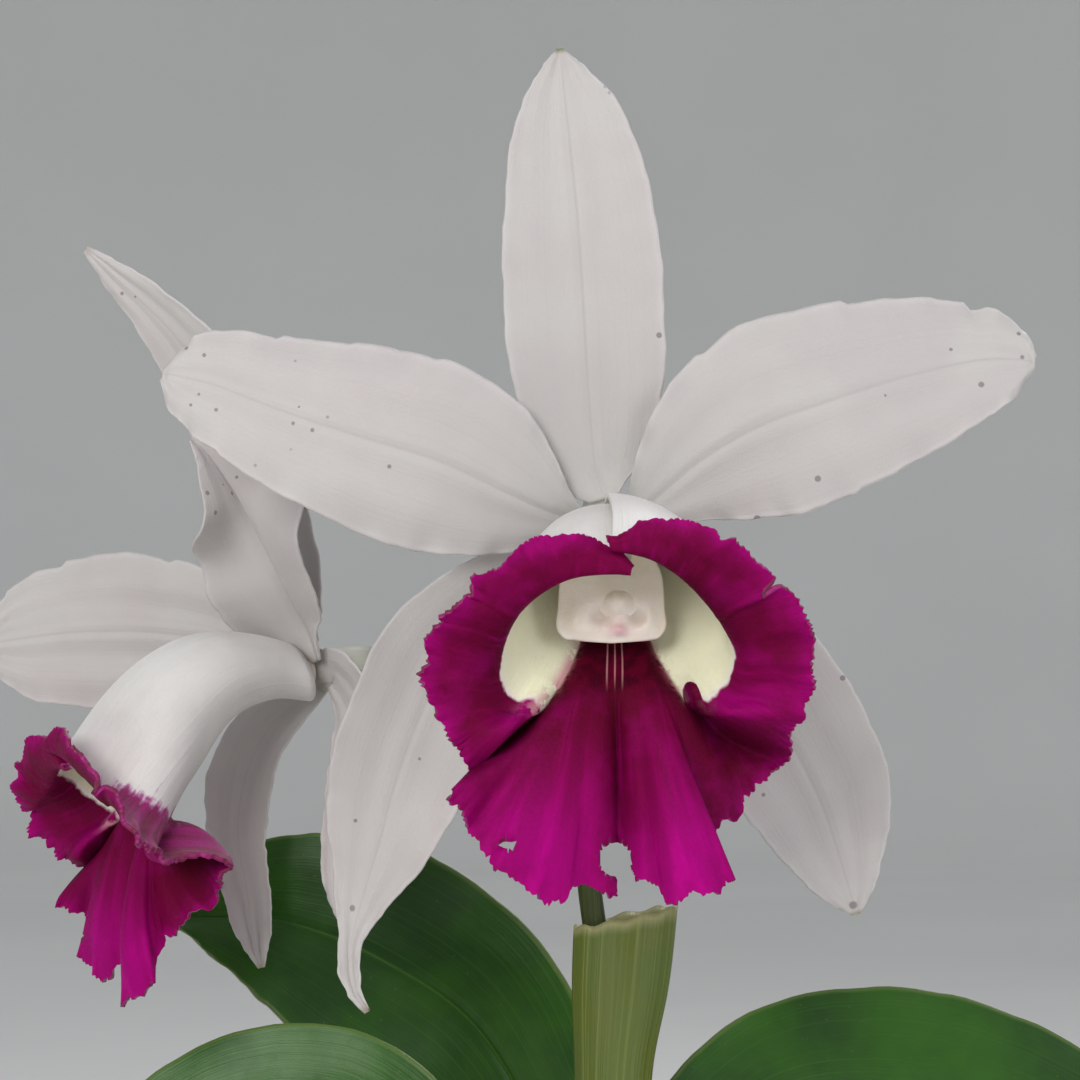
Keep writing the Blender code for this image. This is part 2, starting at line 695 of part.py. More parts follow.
def sheath():
    """A flattened green sheath, open at its top, round the foot of the flower stalk."""

    def place(u, v):
        angle = 2.0 * math.pi * u
        outside = v <= SHEATH_OUTSIDE
        level = v / SHEATH_OUTSIDE
        if not outside:
            way_in = 1.0 - SHEATH_OUTSIDE - 1.0 / SHEATH_STEPS
            inward = min((v - SHEATH_OUTSIDE) / way_in, 1.0)
            level = 1.0 - (1.0 - SHEATH_POCKET) * inward
        x, y, z, wide, deep = along(SHEATH_ROWS, min(level, 1.0))
        if not outside:
            wide -= SHEATH_WALL
            deep -= SHEATH_WALL
            z = max(z, along(SHEATH_ROWS, SHEATH_POCKET)[2] + SEAM)
        if v in (0.0, 1.0):
            wide = deep = 0.0
        corner = SHEATH_CORNER * math.cos(angle) * level**8
        return (x + wide * math.cos(angle), y + deep * math.sin(angle), z + corner)

    add("sheath", skin(SHEATH_SIDES, SHEATH_STEPS, place), "sheath_green")


def growth(name):
    """One growth: a creeping stem that turns up into a ribbed pseudobulb."""
    start, foot, top, greatest = GROWTHS[name]
    low = BARK_TOP + CREEP_RADIUS + CREEP_LIFT
    turn = np.array(start) * (1.0 - CREEP_TURN) + np.array(foot) * CREEP_TURN
    rows = [
        (*start, low, CREEP_RADIUS),
        (*turn, low + 0.8, CREEP_RADIUS + 0.3),
        (*foot, low + BULB_FOOT_LIFT, CREEP_RADIUS + 0.8),
    ]
    bottom = np.array([*foot, low + BULB_FOOT_LIFT])
    for share, swell in BULB_SWELL:
        middle = bottom + (np.array(top) - bottom) * share
        rows.append((*middle, greatest * swell))
    rows.append((*top, BULB_NECK))
    plain = swept(rows, unit(np.array([foot[0] - start[0], foot[1] - start[1], -1.0])))

    def place(u, v):
        span = min(max((v * (BULB_STEPS + 2) - 1.0) / BULB_STEPS, 0.0), 1.0)
        middle, across, up = plain(span)
        if v in (0.0, 1.0):
            return middle
        angle = 2.0 * math.pi * u
        rib = 1.0 + BULB_RIB_DEPTH * math.cos(BULB_RIBS * angle) * math.sin(math.pi * span)
        return middle + (across * math.cos(angle) + up * math.sin(angle)) * rib

    add(name, skin(BULB_SIDES, BULB_STEPS + 2, place), "bulb_green")


def root(name):
    path = ROOT_PATHS[name]
    low = BARK_TOP + ROOT_RADIUS + CREEP_LIFT
    rows = [(*point, low, ROOT_RADIUS) for point in path]
    tube(name, ROOT_SIDES, ROOT_STEPS, swept(rows, (0.0, 0.0, -1.0)), "root_grey")


def pot_outer(z):
    """The outside radius of the pot's body at a height."""
    return POT_BASE_RADIUS + (POT_BODY_RADIUS - POT_BASE_RADIUS) * z / POT_HEIGHT


def pot():
    """A turned clay pot with a rim band, a solid floor and four drain holes off its middle."""
    band = POT_HEIGHT - POT_RIM_HEIGHT
    profile = [
        (0.0, 0.0),
        (POT_BASE_RADIUS - POT_BEVEL, 0.0),
        (pot_outer(POT_BEVEL), POT_BEVEL),
        (pot_outer(0.5 * band), 0.5 * band),
        (pot_outer(band), band),
        (POT_RIM_RADIUS - POT_TAPER, band),
        (POT_RIM_RADIUS, POT_HEIGHT - POT_BEVEL),
        (POT_RIM_RADIUS - POT_BEVEL, POT_HEIGHT),
        (pot_outer(POT_HEIGHT) - POT_WALL + POT_TAPER, POT_HEIGHT),
        (pot_outer(POT_HEIGHT) - POT_WALL, POT_HEIGHT - POT_BEVEL),
        (pot_outer(POT_FLOOR) - POT_WALL, POT_FLOOR),
        (0.0, POT_FLOOR),
    ]
    bm = bmesh.new()
    verts = [bm.verts.new((radius * MM, 0.0, z * MM)) for radius, z in profile]
    edges = [bm.edges.new(pair) for pair in zip(verts, verts[1:])]
    bmesh.ops.spin(
        bm,
        geom=verts + edges,
        cent=(0, 0, 0),
        axis=(0, 0, 1),
        angle=2.0 * math.pi,
        steps=POT_SIDES,
        use_merge=True,
    )
    bmesh.ops.remove_doubles(bm, verts=bm.verts, dist=WELD)
    bmesh.ops.recalc_face_normals(bm, faces=bm.faces)
    body = add("pot", bm, "clay")
    for number in range(DRAIN_HOLES):
        angle = 2.0 * math.pi * (number + 0.5) / DRAIN_HOLES
        cutter = drain_cutter(number, angle)
        hole = body.modifiers.new(f"Drain {number + 1}", "BOOLEAN")
        hole.operation = "DIFFERENCE"
        hole.object = cutter


def drain_cutter(number, angle):
    bm = bmesh.new()
    bmesh.ops.create_cone(
        bm,
        cap_ends=True,
        segments=DRAIN_SIDES,
        radius1=DRAIN_RADIUS * MM,
        radius2=DRAIN_RADIUS * MM,
        depth=3.0 * POT_FLOOR * MM,
    )
    middle = Vector((math.cos(angle), math.sin(angle), 0.0)) * DRAIN_RING * MM
    bmesh.ops.translate(bm, verts=bm.verts, vec=middle)
    cutter = add(f"drain_cutter_{number + 1}", bm, "clay")
    cutter.hide_render = True
    cutter.display_type = "WIRE"
    return cutter


def near_growth(x, y):
    """How far a place on the bark is from the nearest creeping stem or root."""
    routes = [(start, foot) for start, foot, top, greatest in GROWTHS.values()]
    for path in ROOT_PATHS.values():
        routes += list(zip(path, path[1:]))
    nearest = math.inf
    for first, second in routes:
        first, second = np.array(first), np.array(second)
        run = second - first
        share = np.dot(np.array([x, y]) - first, run) / np.dot(run, run)
        nearest = min(nearest, math.dist((x, y), first + run * min(max(share, 0.0), 1.0)))
    return nearest


def bark():
    """The coarse bark that fills the pot, flat under the plant's stems and rough elsewhere."""
    draw = random.Random(7)
    low = POT_FLOOR + SEAM
    foot_radius = pot_outer(POT_FLOOR) - POT_WALL - 1.5 * SEAM
    top_radius = pot_outer(BARK_TOP) - POT_WALL - 1.5 * SEAM
    edge = BARK_TOP - BARK_EDGE_DIP

    def place(u, v):
        angle = 2.0 * math.pi * u
        step = round(v * (BARK_RINGS + 3))
        if step <= 1:
            radius, z = foot_radius * step, low
        else:
            radius, z = top_radius * (1.0 - (step - 2) / (BARK_RINGS + 1)), edge
        return (radius * math.cos(angle), radius * math.sin(angle), z)

    bm = skin(BARK_SIDES, BARK_RINGS + 3, place)
    for vert in bm.verts:
        x, y, z = vert.co / MM
        if z < edge - 1.0 or math.hypot(x, y) > top_radius - 1.0:
            continue
        rough = min(max((near_growth(x, y) - BARK_CALM) / BARK_BLEND, 0.0), 1.0)
        vert.co.z = (BARK_TOP - rough * BARK_DIP * draw.random()) * MM
    add("potting_bark", bm, "bark_brown")


def clear_scene():
    for obj in list(bpy.data.objects):
        bpy.data.objects.remove(obj)


def main():
    clear_scene()
    pot()
    bark()
    for name in GROWTHS:
        growth(name)
    for name in ROOT_PATHS:
        root(name)
    for name, rows in LEAF_ROWS.items():
        blade(name, rows, LEAF_FACES[name], LEAF_BEND, LEAF_THICK, "leaf_green")
    sheath()
    stalk()
    tepals(FRONT_BLOOM, 0.0, 1, FRONT_TEPALS, FRONT_ROOTS, FRONT_FACES)
    tepals(SIDE_BLOOM, SIDE_TURN, 2, SIDE_TEPALS, SIDE_ROOTS, SIDE_FACES)
    for number, bloom, turn in ((1, FRONT_BLOOM, 0.0), (2, SIDE_BLOOM, SIDE_TURN)):
        lip(bloom, turn, number)
        column(bloom, turn, number)
        anther_cap(bloom, turn, number)


main()
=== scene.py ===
"""A cattleya orchid in flower, growing in bark in a plain clay pot.

The scene is in metres with +Z up. Sizes in the tables are in millimetres and are turned into metres
when a mesh is made. The origin is the middle of the pot's underside, and the larger bloom faces -Y.
"""

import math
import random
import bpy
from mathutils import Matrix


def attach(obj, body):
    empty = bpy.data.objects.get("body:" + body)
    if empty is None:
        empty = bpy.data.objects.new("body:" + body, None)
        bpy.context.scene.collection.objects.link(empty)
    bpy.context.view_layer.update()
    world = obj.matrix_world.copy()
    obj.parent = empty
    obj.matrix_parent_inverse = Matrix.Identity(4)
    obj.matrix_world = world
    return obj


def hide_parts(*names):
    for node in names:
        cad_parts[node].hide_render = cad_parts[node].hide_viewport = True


bl_info = {
    "name": "Cattleya Orchid",
    "version": (1, 0, 0), "blender": (4, 5, 0),
    "location": "View3D > Sidebar > Orchid",
    "description": "Models a flowering cattleya orchid in a clay pot",
    "category": "Add Mesh",
}

import bmesh
import bpy
import numpy as np
from mathutils import Matrix, Vector

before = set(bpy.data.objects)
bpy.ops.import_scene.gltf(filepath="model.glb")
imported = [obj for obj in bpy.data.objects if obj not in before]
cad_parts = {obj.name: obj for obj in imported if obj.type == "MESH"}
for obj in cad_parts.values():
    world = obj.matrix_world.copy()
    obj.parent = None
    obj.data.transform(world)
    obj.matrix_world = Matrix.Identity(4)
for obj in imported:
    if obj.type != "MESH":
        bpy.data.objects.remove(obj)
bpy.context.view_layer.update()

MM = 0.001
WELD = 1e-6
SEAM = 0.3
TURN = 2.0 * math.pi

# The pot and what fills it
POT_HEIGHT = 100.0
POT_BASE_RADIUS = 43.0
POT_BODY_RADIUS = 56.0
POT_RIM_RADIUS = 61.0
POT_RIM_HEIGHT = 20.0
POT_WALL = 5.0
POT_FLOOR = 6.0
POT_BEVEL = 1.5
POT_STEPS = 144
RIM_TOP_BEVEL = 2.0
RIM_INNER_BEVEL = 1.6
RIM_FOOT_BEVEL = 0.8
RIM_HOLLOW = 0.9
DRAIN_RADIUS = 4.5
DRAIN_RING = 22.0
DRAIN_HOLES = 4
BARK_TOP = 89.0
BED_DEPTH = 5.5
BED_GRID = (90, 26)
BED_SEED = 7
CHIP_SEED = 11
CHIP_SIZES = (5.0, 10.5)
LEAST_CHIP = 4.0
# How far chips lie below the top, and how far they may rise where no stem or root is near
CHIP_SINK = 3.6
CHIP_RISE = 2.2

# The blooms are drawn as they are seen from this point, in front of the plant
EYE = np.array([-10.5, -550.0, 310.2])
FRONT_BLOOM = np.array([-1.4, 0.0, 311.6])
SIDE_BLOOM = np.array([-43.6, 35.0, 290.5])
FLOWER_PITCH = math.radians(22.0)
SIDE_TURN = math.radians(-65.0)
CAMERA_LENS = 130.95
CAMERA_SENSOR = 36.0

TIP_CROWDING = 1.3
LEAST_HALF_WIDTH = 0.3
BASE_RADIUS = 4.15
PETAL_ROOT_HALF = 1.5
SEPAL_ROOT_HALF = 2.0
BLADE_ACROSS = 56
BLADE_ALONG = 104
# Waves of a blade's two edges: how many there are, and how high
EDGE_WAVES = ((7.0, 0.10), (17.0, 0.06), (31.0, 0.03))

# Each blade: rows of how far right, up and forward of the bloom's middle its midrib is seen, with
# its half-widths on the side of the first edge and of the second; the angle and layer of its root;
# the ways its upper face looks from root to tip; its form, which says how it cups, rolls, folds,
# ripples and pleats, how deep its rib lies and where its edge is nicked (place, edge, depth and
# length); where its dark specks are seen and their radius; and the colour of its dry tip
FRONT_TEPALS = {
    "dorsal_sepal": {
        "rows": [
            (-1.4, 9.0, -0.2, 7.0, 7.4), (-2.3, 19.0, 0.4, 10.2, 10.4), (-3.0, 31.0, 1.6, 11.2, 11.2),
            (-3.9, 44.0, 2.2, 10.4, 10.8), (-5.2, 56.5, 2.0, 7.8, 8.3), (-6.0, 63.5, 1.6, 3.9, 4.2),
            (-6.3, 67.4, 1.4, 0.4, 0.4),
        ],
        "root": (92.0, -1.1),
        "faces": [(0.0, -1.0, -0.2), (0.1, -1.0, 0.1)],
        "form": {"cup": 0.12, "ripple": 0.2, "keel": 0.45, "pleat": 0.16},
        "specks": [(7.4, 27.7, 0.35)],
        "tip": (0.16, 0.2, 0.05),
    },
    "left_petal": {
        "rows": [
            (-8.0, 2.6, 3.0, 5.6, 5.6), (-14.5, 5.6, 4.6, 10.2, 10.8), (-23.5, 9.8, 5.0, 13.2, 13.4),
            (-34.0, 13.0, 4.5, 12.4, 13.3), (-45.0, 16.6, 4.0, 10.4, 11.2),
            (-54.5, 20.2, 3.0, 7.9, 8.6), (-59.6, 21.4, 2.2, 5.0, 5.6), (-61.9, 21.9, 1.8, 1.2, 1.2),
        ],
        "root": (158.0, 0.3),
        "faces": [(0.1, -1.0, -0.2), (0.2, -1.0, 0.25)],
        "form": {
            "cup": -0.10,
            "ripple": 0.55,
            "keel": 0.55,
            "pleat": 0.2,
            "nicks": [
                (0.42, 1, 0.4, 0.06), (0.56, 1, 0.5, 0.05), (0.68, 1, 0.8, 0.06), (0.7, -1, 0.5, 0.06),
            ],
        },
        "specks": [
            (-56.1, 24.5, 0.4), (-58.4, 25.3, 0.25), (-56.8, 18.9, 0.35), (-58.1, 17.4, 0.25),
            (-54.6, 16.7, 0.45), (-43.7, 15.1, 0.4), (-42.7, 16.9, 0.25), (-40.6, 13.7, 0.45),
            (-30.5, 9.1, 0.5),
        ],
        "tip": None,
    },
    "right_petal": {
        "rows": [
            (7.4, 4.6, 3.0, 5.2, 5.2), (13.6, 9.8, 4.6, 10.2, 10.2), (21.8, 14.6, 5.0, 13.8, 13.4),
            (31.8, 18.2, 4.5, 13.8, 13.2), (42.0, 21.4, 4.0, 11.8, 11.2), (51.6, 23.6, 3.0, 9.0, 8.4),
            (57.4, 23.8, 2.2, 6.0, 5.4), (60.2, 23.4, 1.8, 1.0, 1.0),
        ],
        "root": (24.0, 0.3),
        "faces": [(-0.1, -1.0, -0.2), (-0.2, -1.0, 0.3)],
        "form": {
            "cup": -0.10,
            "ripple": 0.55,
            "keel": 0.55,
            "pleat": 0.2,
            "nicks": [
                (0.34, -1, 0.7, 0.05), (0.57, -1, 0.7, 0.05), (0.76, -1, 1.1, 0.04),
                (0.5, 1, 0.5, 0.06),
            ],
        },
        "specks": [
            (48.3, 24.9, 0.45), (57.7, 27.3, 0.3), (58.2, 24.1, 0.5), (52.5, 20.2, 0.7),
            (39.3, 19.0, 0.3), (30.1, 7.4, 0.6), (21.6, 0.6, 0.6),
        ],
        "tip": None,
    },
    "left_sepal": {
        "rows": [
            (-12.5, -7.6, -2.6, 6.4, 6.4), (-21.0, -16.4, -4.5, 9.6, 9.6),
            (-26.0, -26.2, -6.5, 10.4, 10.0), (-29.4, -35.6, -8.5, 9.7, 9.5),
            (-31.4, -43.2, -9.5, 7.8, 7.8), (-33.6, -50.6, -10.0, 4.6, 4.6),
            (-35.3, -57.0, -9.5, 1.9, 2.0), (-35.2, -63.6, -8.0, 1.3, 1.3),
            (-33.2, -67.4, -6.0, 0.5, 0.5),
        ],
        "root": (212.0, -1.1),
        "faces": [(0.1, -1.0, -0.3), (-0.3, -1.0, 0.1)],
        "form": {
            "cup": 0.12,
            "ripple": 0.35,
            "keel": 0.35,
            "pleat": 0.16,
            "bend": (-0.12, 0.42, 0.28),
            "roll": 0.9,
        },
        "specks": [(-35.0, -40.9, 0.4), (-26.0, -32.2, 0.4), (-35.4, -53.2, 0.8)],
        "tip": (0.3, 0.24, 0.18),
    },
    "right_sepal": {
        "rows": [
            (10.0, -8.4, -2.6, 6.4, 6.4), (18.8, -18.2, -4.5, 10.4, 10.2),
            (25.2, -28.4, -6.5, 11.4, 11.0), (29.9, -37.4, -8.0, 10.5, 10.2),
            (32.6, -45.2, -9.0, 7.3, 7.3), (34.3, -50.8, -9.4, 3.7, 3.9),
            (35.1, -53.8, -9.5, 0.6, 0.6),
        ],
        "root": (328.0, -1.1),
        "faces": [(-0.1, -1.0, -0.3), (0.2, -1.0, 0.1)],
        "form": {"cup": 0.12, "ripple": 0.25, "keel": 0.35, "pleat": 0.16},
        "specks": [(34.7, -52.4, 0.9), (22.0, -36.8, 0.3), (33.0, -20.5, 0.3)],
        "tip": (0.34, 0.3, 0.2),
    },
}
SIDE_TEPALS = {
    "dorsal_sepal": {
        "rows": [
            (-1.8, 8.5, -1.0, 4.8, 4.8), (-4.6, 18.5, 0.5, 8.6, 8.6), (-8.4, 29.5, 2.0, 10.0, 10.0),
            (-14.2, 40.5, 3.0, 8.4, 8.4), (-21.4, 50.6, 3.5, 5.2, 5.4), (-29.4, 58.4, 3.5, 2.6, 2.7),
            (-34.6, 63.0, 3.5, 0.5, 0.5),
        ],
        "root": (90.0, -1.1),
        "faces": [(-0.8, -0.6, -0.3), (-0.7, -0.8, 0.2)],
        "form": {"cup": 0.12, "ripple": 0.2, "keel": 0.4, "pleat": 0.16},
        "specks": [(-29.1, 56.5, 0.4), (-27.2, 56.2, 0.3)],
        "tip": (0.42, 0.38, 0.36),
    },
    "near_petal": {
        "rows": [
            (-2.4, 7.4, 3.6, 8.6, 5.6), (-5.6, 13.6, 6.5, 11.0, 8.4), (-8.8, 20.2, 8.5, 9.8, 10.6),
            (-12.2, 26.4, 10.5, 7.4, 9.2), (-15.8, 31.6, 12.0, 3.6, 4.6),
            (-18.7, 34.8, 13.0, 0.6, 0.6),
        ],
        "root": (32.0, 0.3),
        "faces": [
            (-0.80, -0.45, -0.4), (-0.55, -0.72, -0.45), (-0.50, -0.74, -0.50), (-0.50, -0.74, -0.45),
            (0.10, -0.88, 0.45), (0.12, -0.86, 0.50), (0.12, -0.85, 0.50),
        ],
        "form": {"cup": -0.06, "fold": 0.42, "ripple": 0.1, "keel": 0.9, "keel_width": 1.0, "pleat": 0.1},
        "specks": [
            (-12.2, 29.2, 0.4), (-13.1, 26.5, 0.45), (-15.3, 23.8, 0.35), (-16.5, 26.7, 0.25),
            (-14.4, 28.0, 0.25),
        ],
        "tip": None,
    },
    "far_petal": {
        "rows": [
            (-7.6, 2.6, -6.0, 4.6, 4.6), (-15.0, 4.8, -11.0, 9.2, 9.2),
            (-25.0, 6.0, -16.0, 11.4, 11.8), (-35.0, 6.0, -20.0, 11.6, 12.0),
            (-43.5, 5.0, -23.0, 9.4, 9.8), (-48.4, 4.2, -24.5, 4.8, 5.2),
            (-50.2, 4.0, -25.0, 1.0, 1.0),
        ],
        "root": (148.0, 0.3),
        "faces": [(-0.6, -0.7, -0.1), (-0.3, -1.0, 0.3)],
        "form": {
            "cup": -0.10,
            "ripple": 0.4,
            "keel": 0.7,
            "pleat": 0.5,
            "nicks": [(0.4, 1, 0.6, 0.06), (0.62, 1, 0.8, 0.06), (0.78, 1, 0.6, 0.06)],
        },
        "specks": [],
        "tip": None,
    },
    "far_sepal": {
        "rows": [
            (-7.0, -8.2, -4.0, 4.6, 5.4), (-10.6, -16.0, -6.0, 6.0, 7.0),
            (-11.6, -24.0, -7.0, 5.8, 6.2), (-10.4, -31.6, -7.0, 4.8, 4.8),
            (-9.4, -38.6, -6.5, 3.2, 3.2), (-8.4, -44.0, -6.0, 0.7, 0.7),
        ],
        "root": (212.0, -1.1),
        "faces": [(-0.8, -0.7, -0.2), (-0.5, -0.9, 0.1)],
        "form": {"cup": 0.12, "ripple": 0.25, "keel": 0.5, "pleat": 0.3},
        "specks": [],
        "tip": (0.4, 0.38, 0.24),
    },
    "near_sepal": {
        "rows": [
            (2.6, -1.2, 3.4, 5.4, 2.4), (5.4, -5.6, 5.3, 6.2, 4.2), (6.4, -12.8, 7.0, 6.4, 6.0),
            (5.0, -20.6, 8.0, 5.6, 5.6), (3.8, -27.4, 8.5, 4.2, 4.2), (3.4, -33.2, 9.0, 2.6, 2.6),
            (3.8, -38.0, 9.0, 0.7, 0.7),
        ],
        "root": (328.0, -1.1),
        "faces": [(-0.7, -0.7, -0.2), (-0.7, -0.7, 0.1)],
        "form": {"cup": 0.12, "ripple": 0.3, "keel": 0.4, "pleat": 0.2},
        "specks": [],
        "tip": (0.4, 0.38, 0.24),
    },
}

# The lip, rolled round the column from its left edge, under the throat, to its right edge. Each
# row: where the throat's rim is seen, and how far the frilled margin stands forward of it
LIP_MOUTH = [
    (3.6, -5.6, 0.8), (-1.2, -5.8, 1.5), (-5.2, -6.6, 2.5), (-9.0, -8.6, 4.0), (-11.9, -11.2, 5.5),
    (-13.8, -14.5, 6.0), (-14.8, -18.2, 6.0), (-14.6, -21.4, 6.0), (-13.0, -23.8, 5.5),
    (-11.0, -24.6, 4.5), (-9.0, -24.8, 5.5), (-6.8, -25.0, 4.0), (-4.4, -25.0, 2.5),
    (-1.6, -25.0, 2.0), (1.4, -25.0, 1.0), (4.2, -25.0, 2.5), (7.0, -25.0, 4.5), (9.6, -24.8, 0.0),
    (12.0, -24.4, -4.0), (14.2, -23.8, -4.0), (15.8, -22.8, 0.0), (17.6, -20.8, 4.5),
    (18.4, -17.6, 6.0), (17.2, -14.2, 6.0), (14.6, -10.4, 5.5), (11.2, -6.8, 4.0), (7.4, -4.2, 2.5),
    (3.8, -3.0, 1.5), (0.8, -2.4, 0.8),
]
# The margin as it is seen: the row of the mouth that it belongs to, then right and up
LIP_MARGIN = [
    (0.0, 3.9, -5.3), (0.35, 2.4, -3.4), (0.8, 0.4, -2.4), (1.2, -1.5, -1.3), (1.9, -4.3, -0.4),
    (2.3, -7.6, -1.0), (2.7, -10.2, -1.1), (3.0, -11.8, -2.4), (3.4, -14.1, -4.3), (3.6, -15.1, -5.6),
    (4.0, -18.5, -6.6), (4.2, -18.9, -7.7), (4.28, -18.2, -9.4), (4.36, -19.5, -9.0),
    (4.6, -20.7, -10.3), (4.8, -21.6, -11.5), (5.1, -23.2, -12.5), (5.2, -22.7, -13.1),
    (5.5, -24.8, -14.6), (5.9, -25.3, -16.5), (6.3, -24.6, -18.8), (6.5, -25.6, -20.1),
    (6.9, -25.2, -22.1), (7.3, -24.2, -24.4), (7.7, -23.2, -26.7), (8.1, -21.6, -28.7),
    (8.5, -20.3, -30.3), (8.8, -20.1, -31.9), (9.2, -18.5, -33.9), (9.6, -20.1, -35.4),
    (9.9, -21.3, -36.6), (10.1, -21.6, -37.8), (10.3, -20.7, -38.4), (10.6, -19.7, -40.1),
    (10.9, -19.1, -42.1), (11.2, -17.4, -44.1), (11.4, -16.1, -45.6), (11.7, -14.6, -47.6),
    (12.0, -11.4, -49.1), (12.15, -10.6, -50.5), (12.45, -8.3, -51.7), (12.8, -5.5, -51.7),
    (12.95, -4.8, -49.6), (13.1, -3.2, -49.4), (13.35, -1.2, -50.5), (13.7, 1.2, -50.9),
    (14.0, 2.4, -50.2), (14.4, 4.0, -49.4), (14.8, 5.9, -48.6), (15.05, 7.8, -50.0),
    (15.25, 8.8, -51.7), (15.5, 11.0, -51.1), (15.7, 12.5, -50.5), (16.0, 14.9, -50.9),
    (16.2, 16.5, -49.6), (16.4, 17.9, -48.4), (16.6, 15.3, -47.4), (16.8, 13.7, -45.2),
    (17.0, 12.9, -43.3), (17.2, 14.7, -43.5), (17.4, 15.1, -41.7), (17.65, 16.5, -40.5),
    (17.9, 18.2, -41.1), (18.1, 19.0, -39.3), (18.3, 19.2, -37.4), (18.6, 21.1, -35.6),
    (19.1, 24.3, -33.7), (19.5, 25.9, -31.5), (19.8, 26.0, -29.5), (20.1, 25.5, -27.7),
    (20.5, 27.4, -26.7), (20.7, 28.1, -25.6), (20.9, 27.9, -24.0), (21.2, 29.2, -22.1),
    (21.5, 29.2, -20.5), (21.8, 28.6, -18.5), (22.0, 29.4, -16.9), (22.4, 29.1, -14.2),
    (22.6, 28.1, -13.0), (22.8, 27.9, -11.5), (23.1, 26.7, -9.5), (23.4, 25.1, -8.1),
    (23.52, 24.4, -7.7), (23.63, 21.2, -9.8), (23.74, 23.7, -7.0), (23.95, 22.8, -5.6),
    (24.2, 21.1, -4.2), (24.6, 19.0, -2.4), (24.8, 18.1, -1.3), (25.0, 16.1, -1.4), (25.2, 15.3, 0.1),
    (25.5, 12.9, 1.1), (25.8, 10.6, 1.2), (26.1, 9.0, 1.4), (26.5, 6.7, 1.5), (27.0, 4.7, 1.1),
    (27.3, 3.5, 0.1), (27.7, 1.9, -1.0), (28.0, 0.1, -1.0),
]
THROAT_MIDDLE = (1.6, -14.0)
THROAT_HALF = (16.7, 10.5)
THROAT_DEPTH = 34.0
THROAT_SLOPE = 0.6
# Rings of the lip's tube behind the throat: middle right, up and forward, half-width,
# half-height, and how much the ring leans forward at its top
LIP_RINGS = [
    (0.1, -0.9, 2.9, 4.3, 3.9, 0.35), (0.3, -0.9, 9.0, 6.6, 4.6, 0.30),
    (0.6, -2.8, 17.5, 10.2, 6.5, 0.35), (1.1, -7.8, 26.0, 13.7, 9.0, 0.55),
]
# Small and large teeth of the margin: the length of each, how far it varies and how slowly
TEETH = ((0.95, 0.35, 0.8), (3.7, 0.3, 0.5))
# The row of the mouth where the rim curls forward
CURL_ROW = 18.3
LIP_OVERLAP = 0.75
LIP_BAND_PUSH = 1.2
# The tube is where the value "limb" is less than this, and its middle lies this far down
TUBE_LIMB = -2.5
TUBE_DROP = 0.9
LIP_ROUND = 720
LIP_LONG = 50
LIP_CROWDING = 1.7
LIP_SPANS = 6.0
LIP_RIM = 4.0
# Ruffles of the margin: how many go round, how deep they are, how near the margin they keep, and
# where they start
LIP_RUFFLES = [
    (11.0, 0.8, 2.0, 0.0), (23.0, 0.4, 3.5, 1.3), (47.0, 0.28, 6.0, 0.4), (83.0, 0.14, 8.0, 2.1),
]
# Folds that stand forward of the lip: row at the rim, how far it shifts by the margin, share of the
# way to the margin, the spreads of both, and height
LIP_FOLDS = [
    (14.0, 0.0, 0.5, 0.4, 0.7, -2.2), (12.2, 0.0, 0.6, 0.9, 0.7, 1.8), (15.8, 0.0, 0.6, 0.8, 0.7, 2.6),
    (11.0, 0.0, 0.85, 0.5, 0.35, -1.0), (10.4, -1.1, 0.5, 0.42, 0.7, -4.4),
    (9.3, -0.9, 0.2, 0.6, 0.5, 3.0), (18.1, 1.3, 0.5, 0.5, 0.7, -4.6),
    (19.3, 1.3, 0.3, 0.55, 0.55, 3.4), (22.3, 0.0, 0.8, 0.35, 0.4, -1.0),
    (6.4, 0.0, 0.8, 0.3, 0.4, -0.9), (4.3, 0.0, 0.85, 0.2, 0.35, -0.9), (2.6, 0.0, 0.7, 0.5, 0.4, 0.8),
    (25.2, 0.0, 0.7, 0.7, 0.4, 0.8),
]
# Patches of colour on the lip, laid out as the folds are, with the strength last. The deep and crimson
# patches are partly the lip's own darker colour and partly painted shade in its folds and creases and
# under its lobes; the purple ones are partly its own colour and partly painted highlight where it catches
# the light
LIP_PATCHES = {
    "deep": [
        (5.6, 0.0, 0.10, 2.2, 0.28, 0.6), (10.6, -1.2, 0.5, 0.5, 0.7, 1.0),
        (24.2, 0.0, 0.10, 2.2, 0.28, 0.6), (14.0, 0.0, 0.15, 0.3, 0.6, 0.8),
        (18.0, 1.3, 0.4, 0.55, 0.7, 0.9), (17.4, 0.0, 0.0, 0.8, 0.3, 0.6),
    ],
    "crimson": [
        (17.6, 0.9, 0.7, 1.2, 0.75, 1.0), (14.05, 0.0, 0.5, 0.5, 0.6, 0.8),
        (12.1, 0.0, 0.95, 0.35, 0.25, 0.4), (22.6, 0.0, 0.6, 0.8, 0.3, 0.45),
        (7.6, 0.0, 0.6, 0.9, 0.35, 0.7), (10.8, 0.0, 0.15, 1.3, 0.25, 0.6),
        (13.4, 0.0, 0.05, 3.4, 0.2, 0.8), (25.0, 0.0, 0.4, 1.5, 0.4, 0.5),
        (4.0, 0.0, 0.35, 2.0, 0.3, 0.5),
    ],
    "purple": [
        (12.3, 0.0, 0.80, 1.3, 0.34, 0.9), (19.9, 1.2, 0.25, 0.7, 0.4, 0.8),
        (5.5, 0.0, 0.97, 4.0, 0.16, 0.35), (23.0, 0.0, 0.97, 4.0, 0.18, 0.35),
        (15.9, 0.0, 0.8, 0.6, 0.38, 1.0), (14.9, 0.0, 0.9, 0.6, 0.25, 0.6),
        (2.2, 0.0, 0.85, 1.0, 0.2, 0.3), (9.0, -0.7, 0.1, 0.55, 0.3, 0.8),
    ],
}
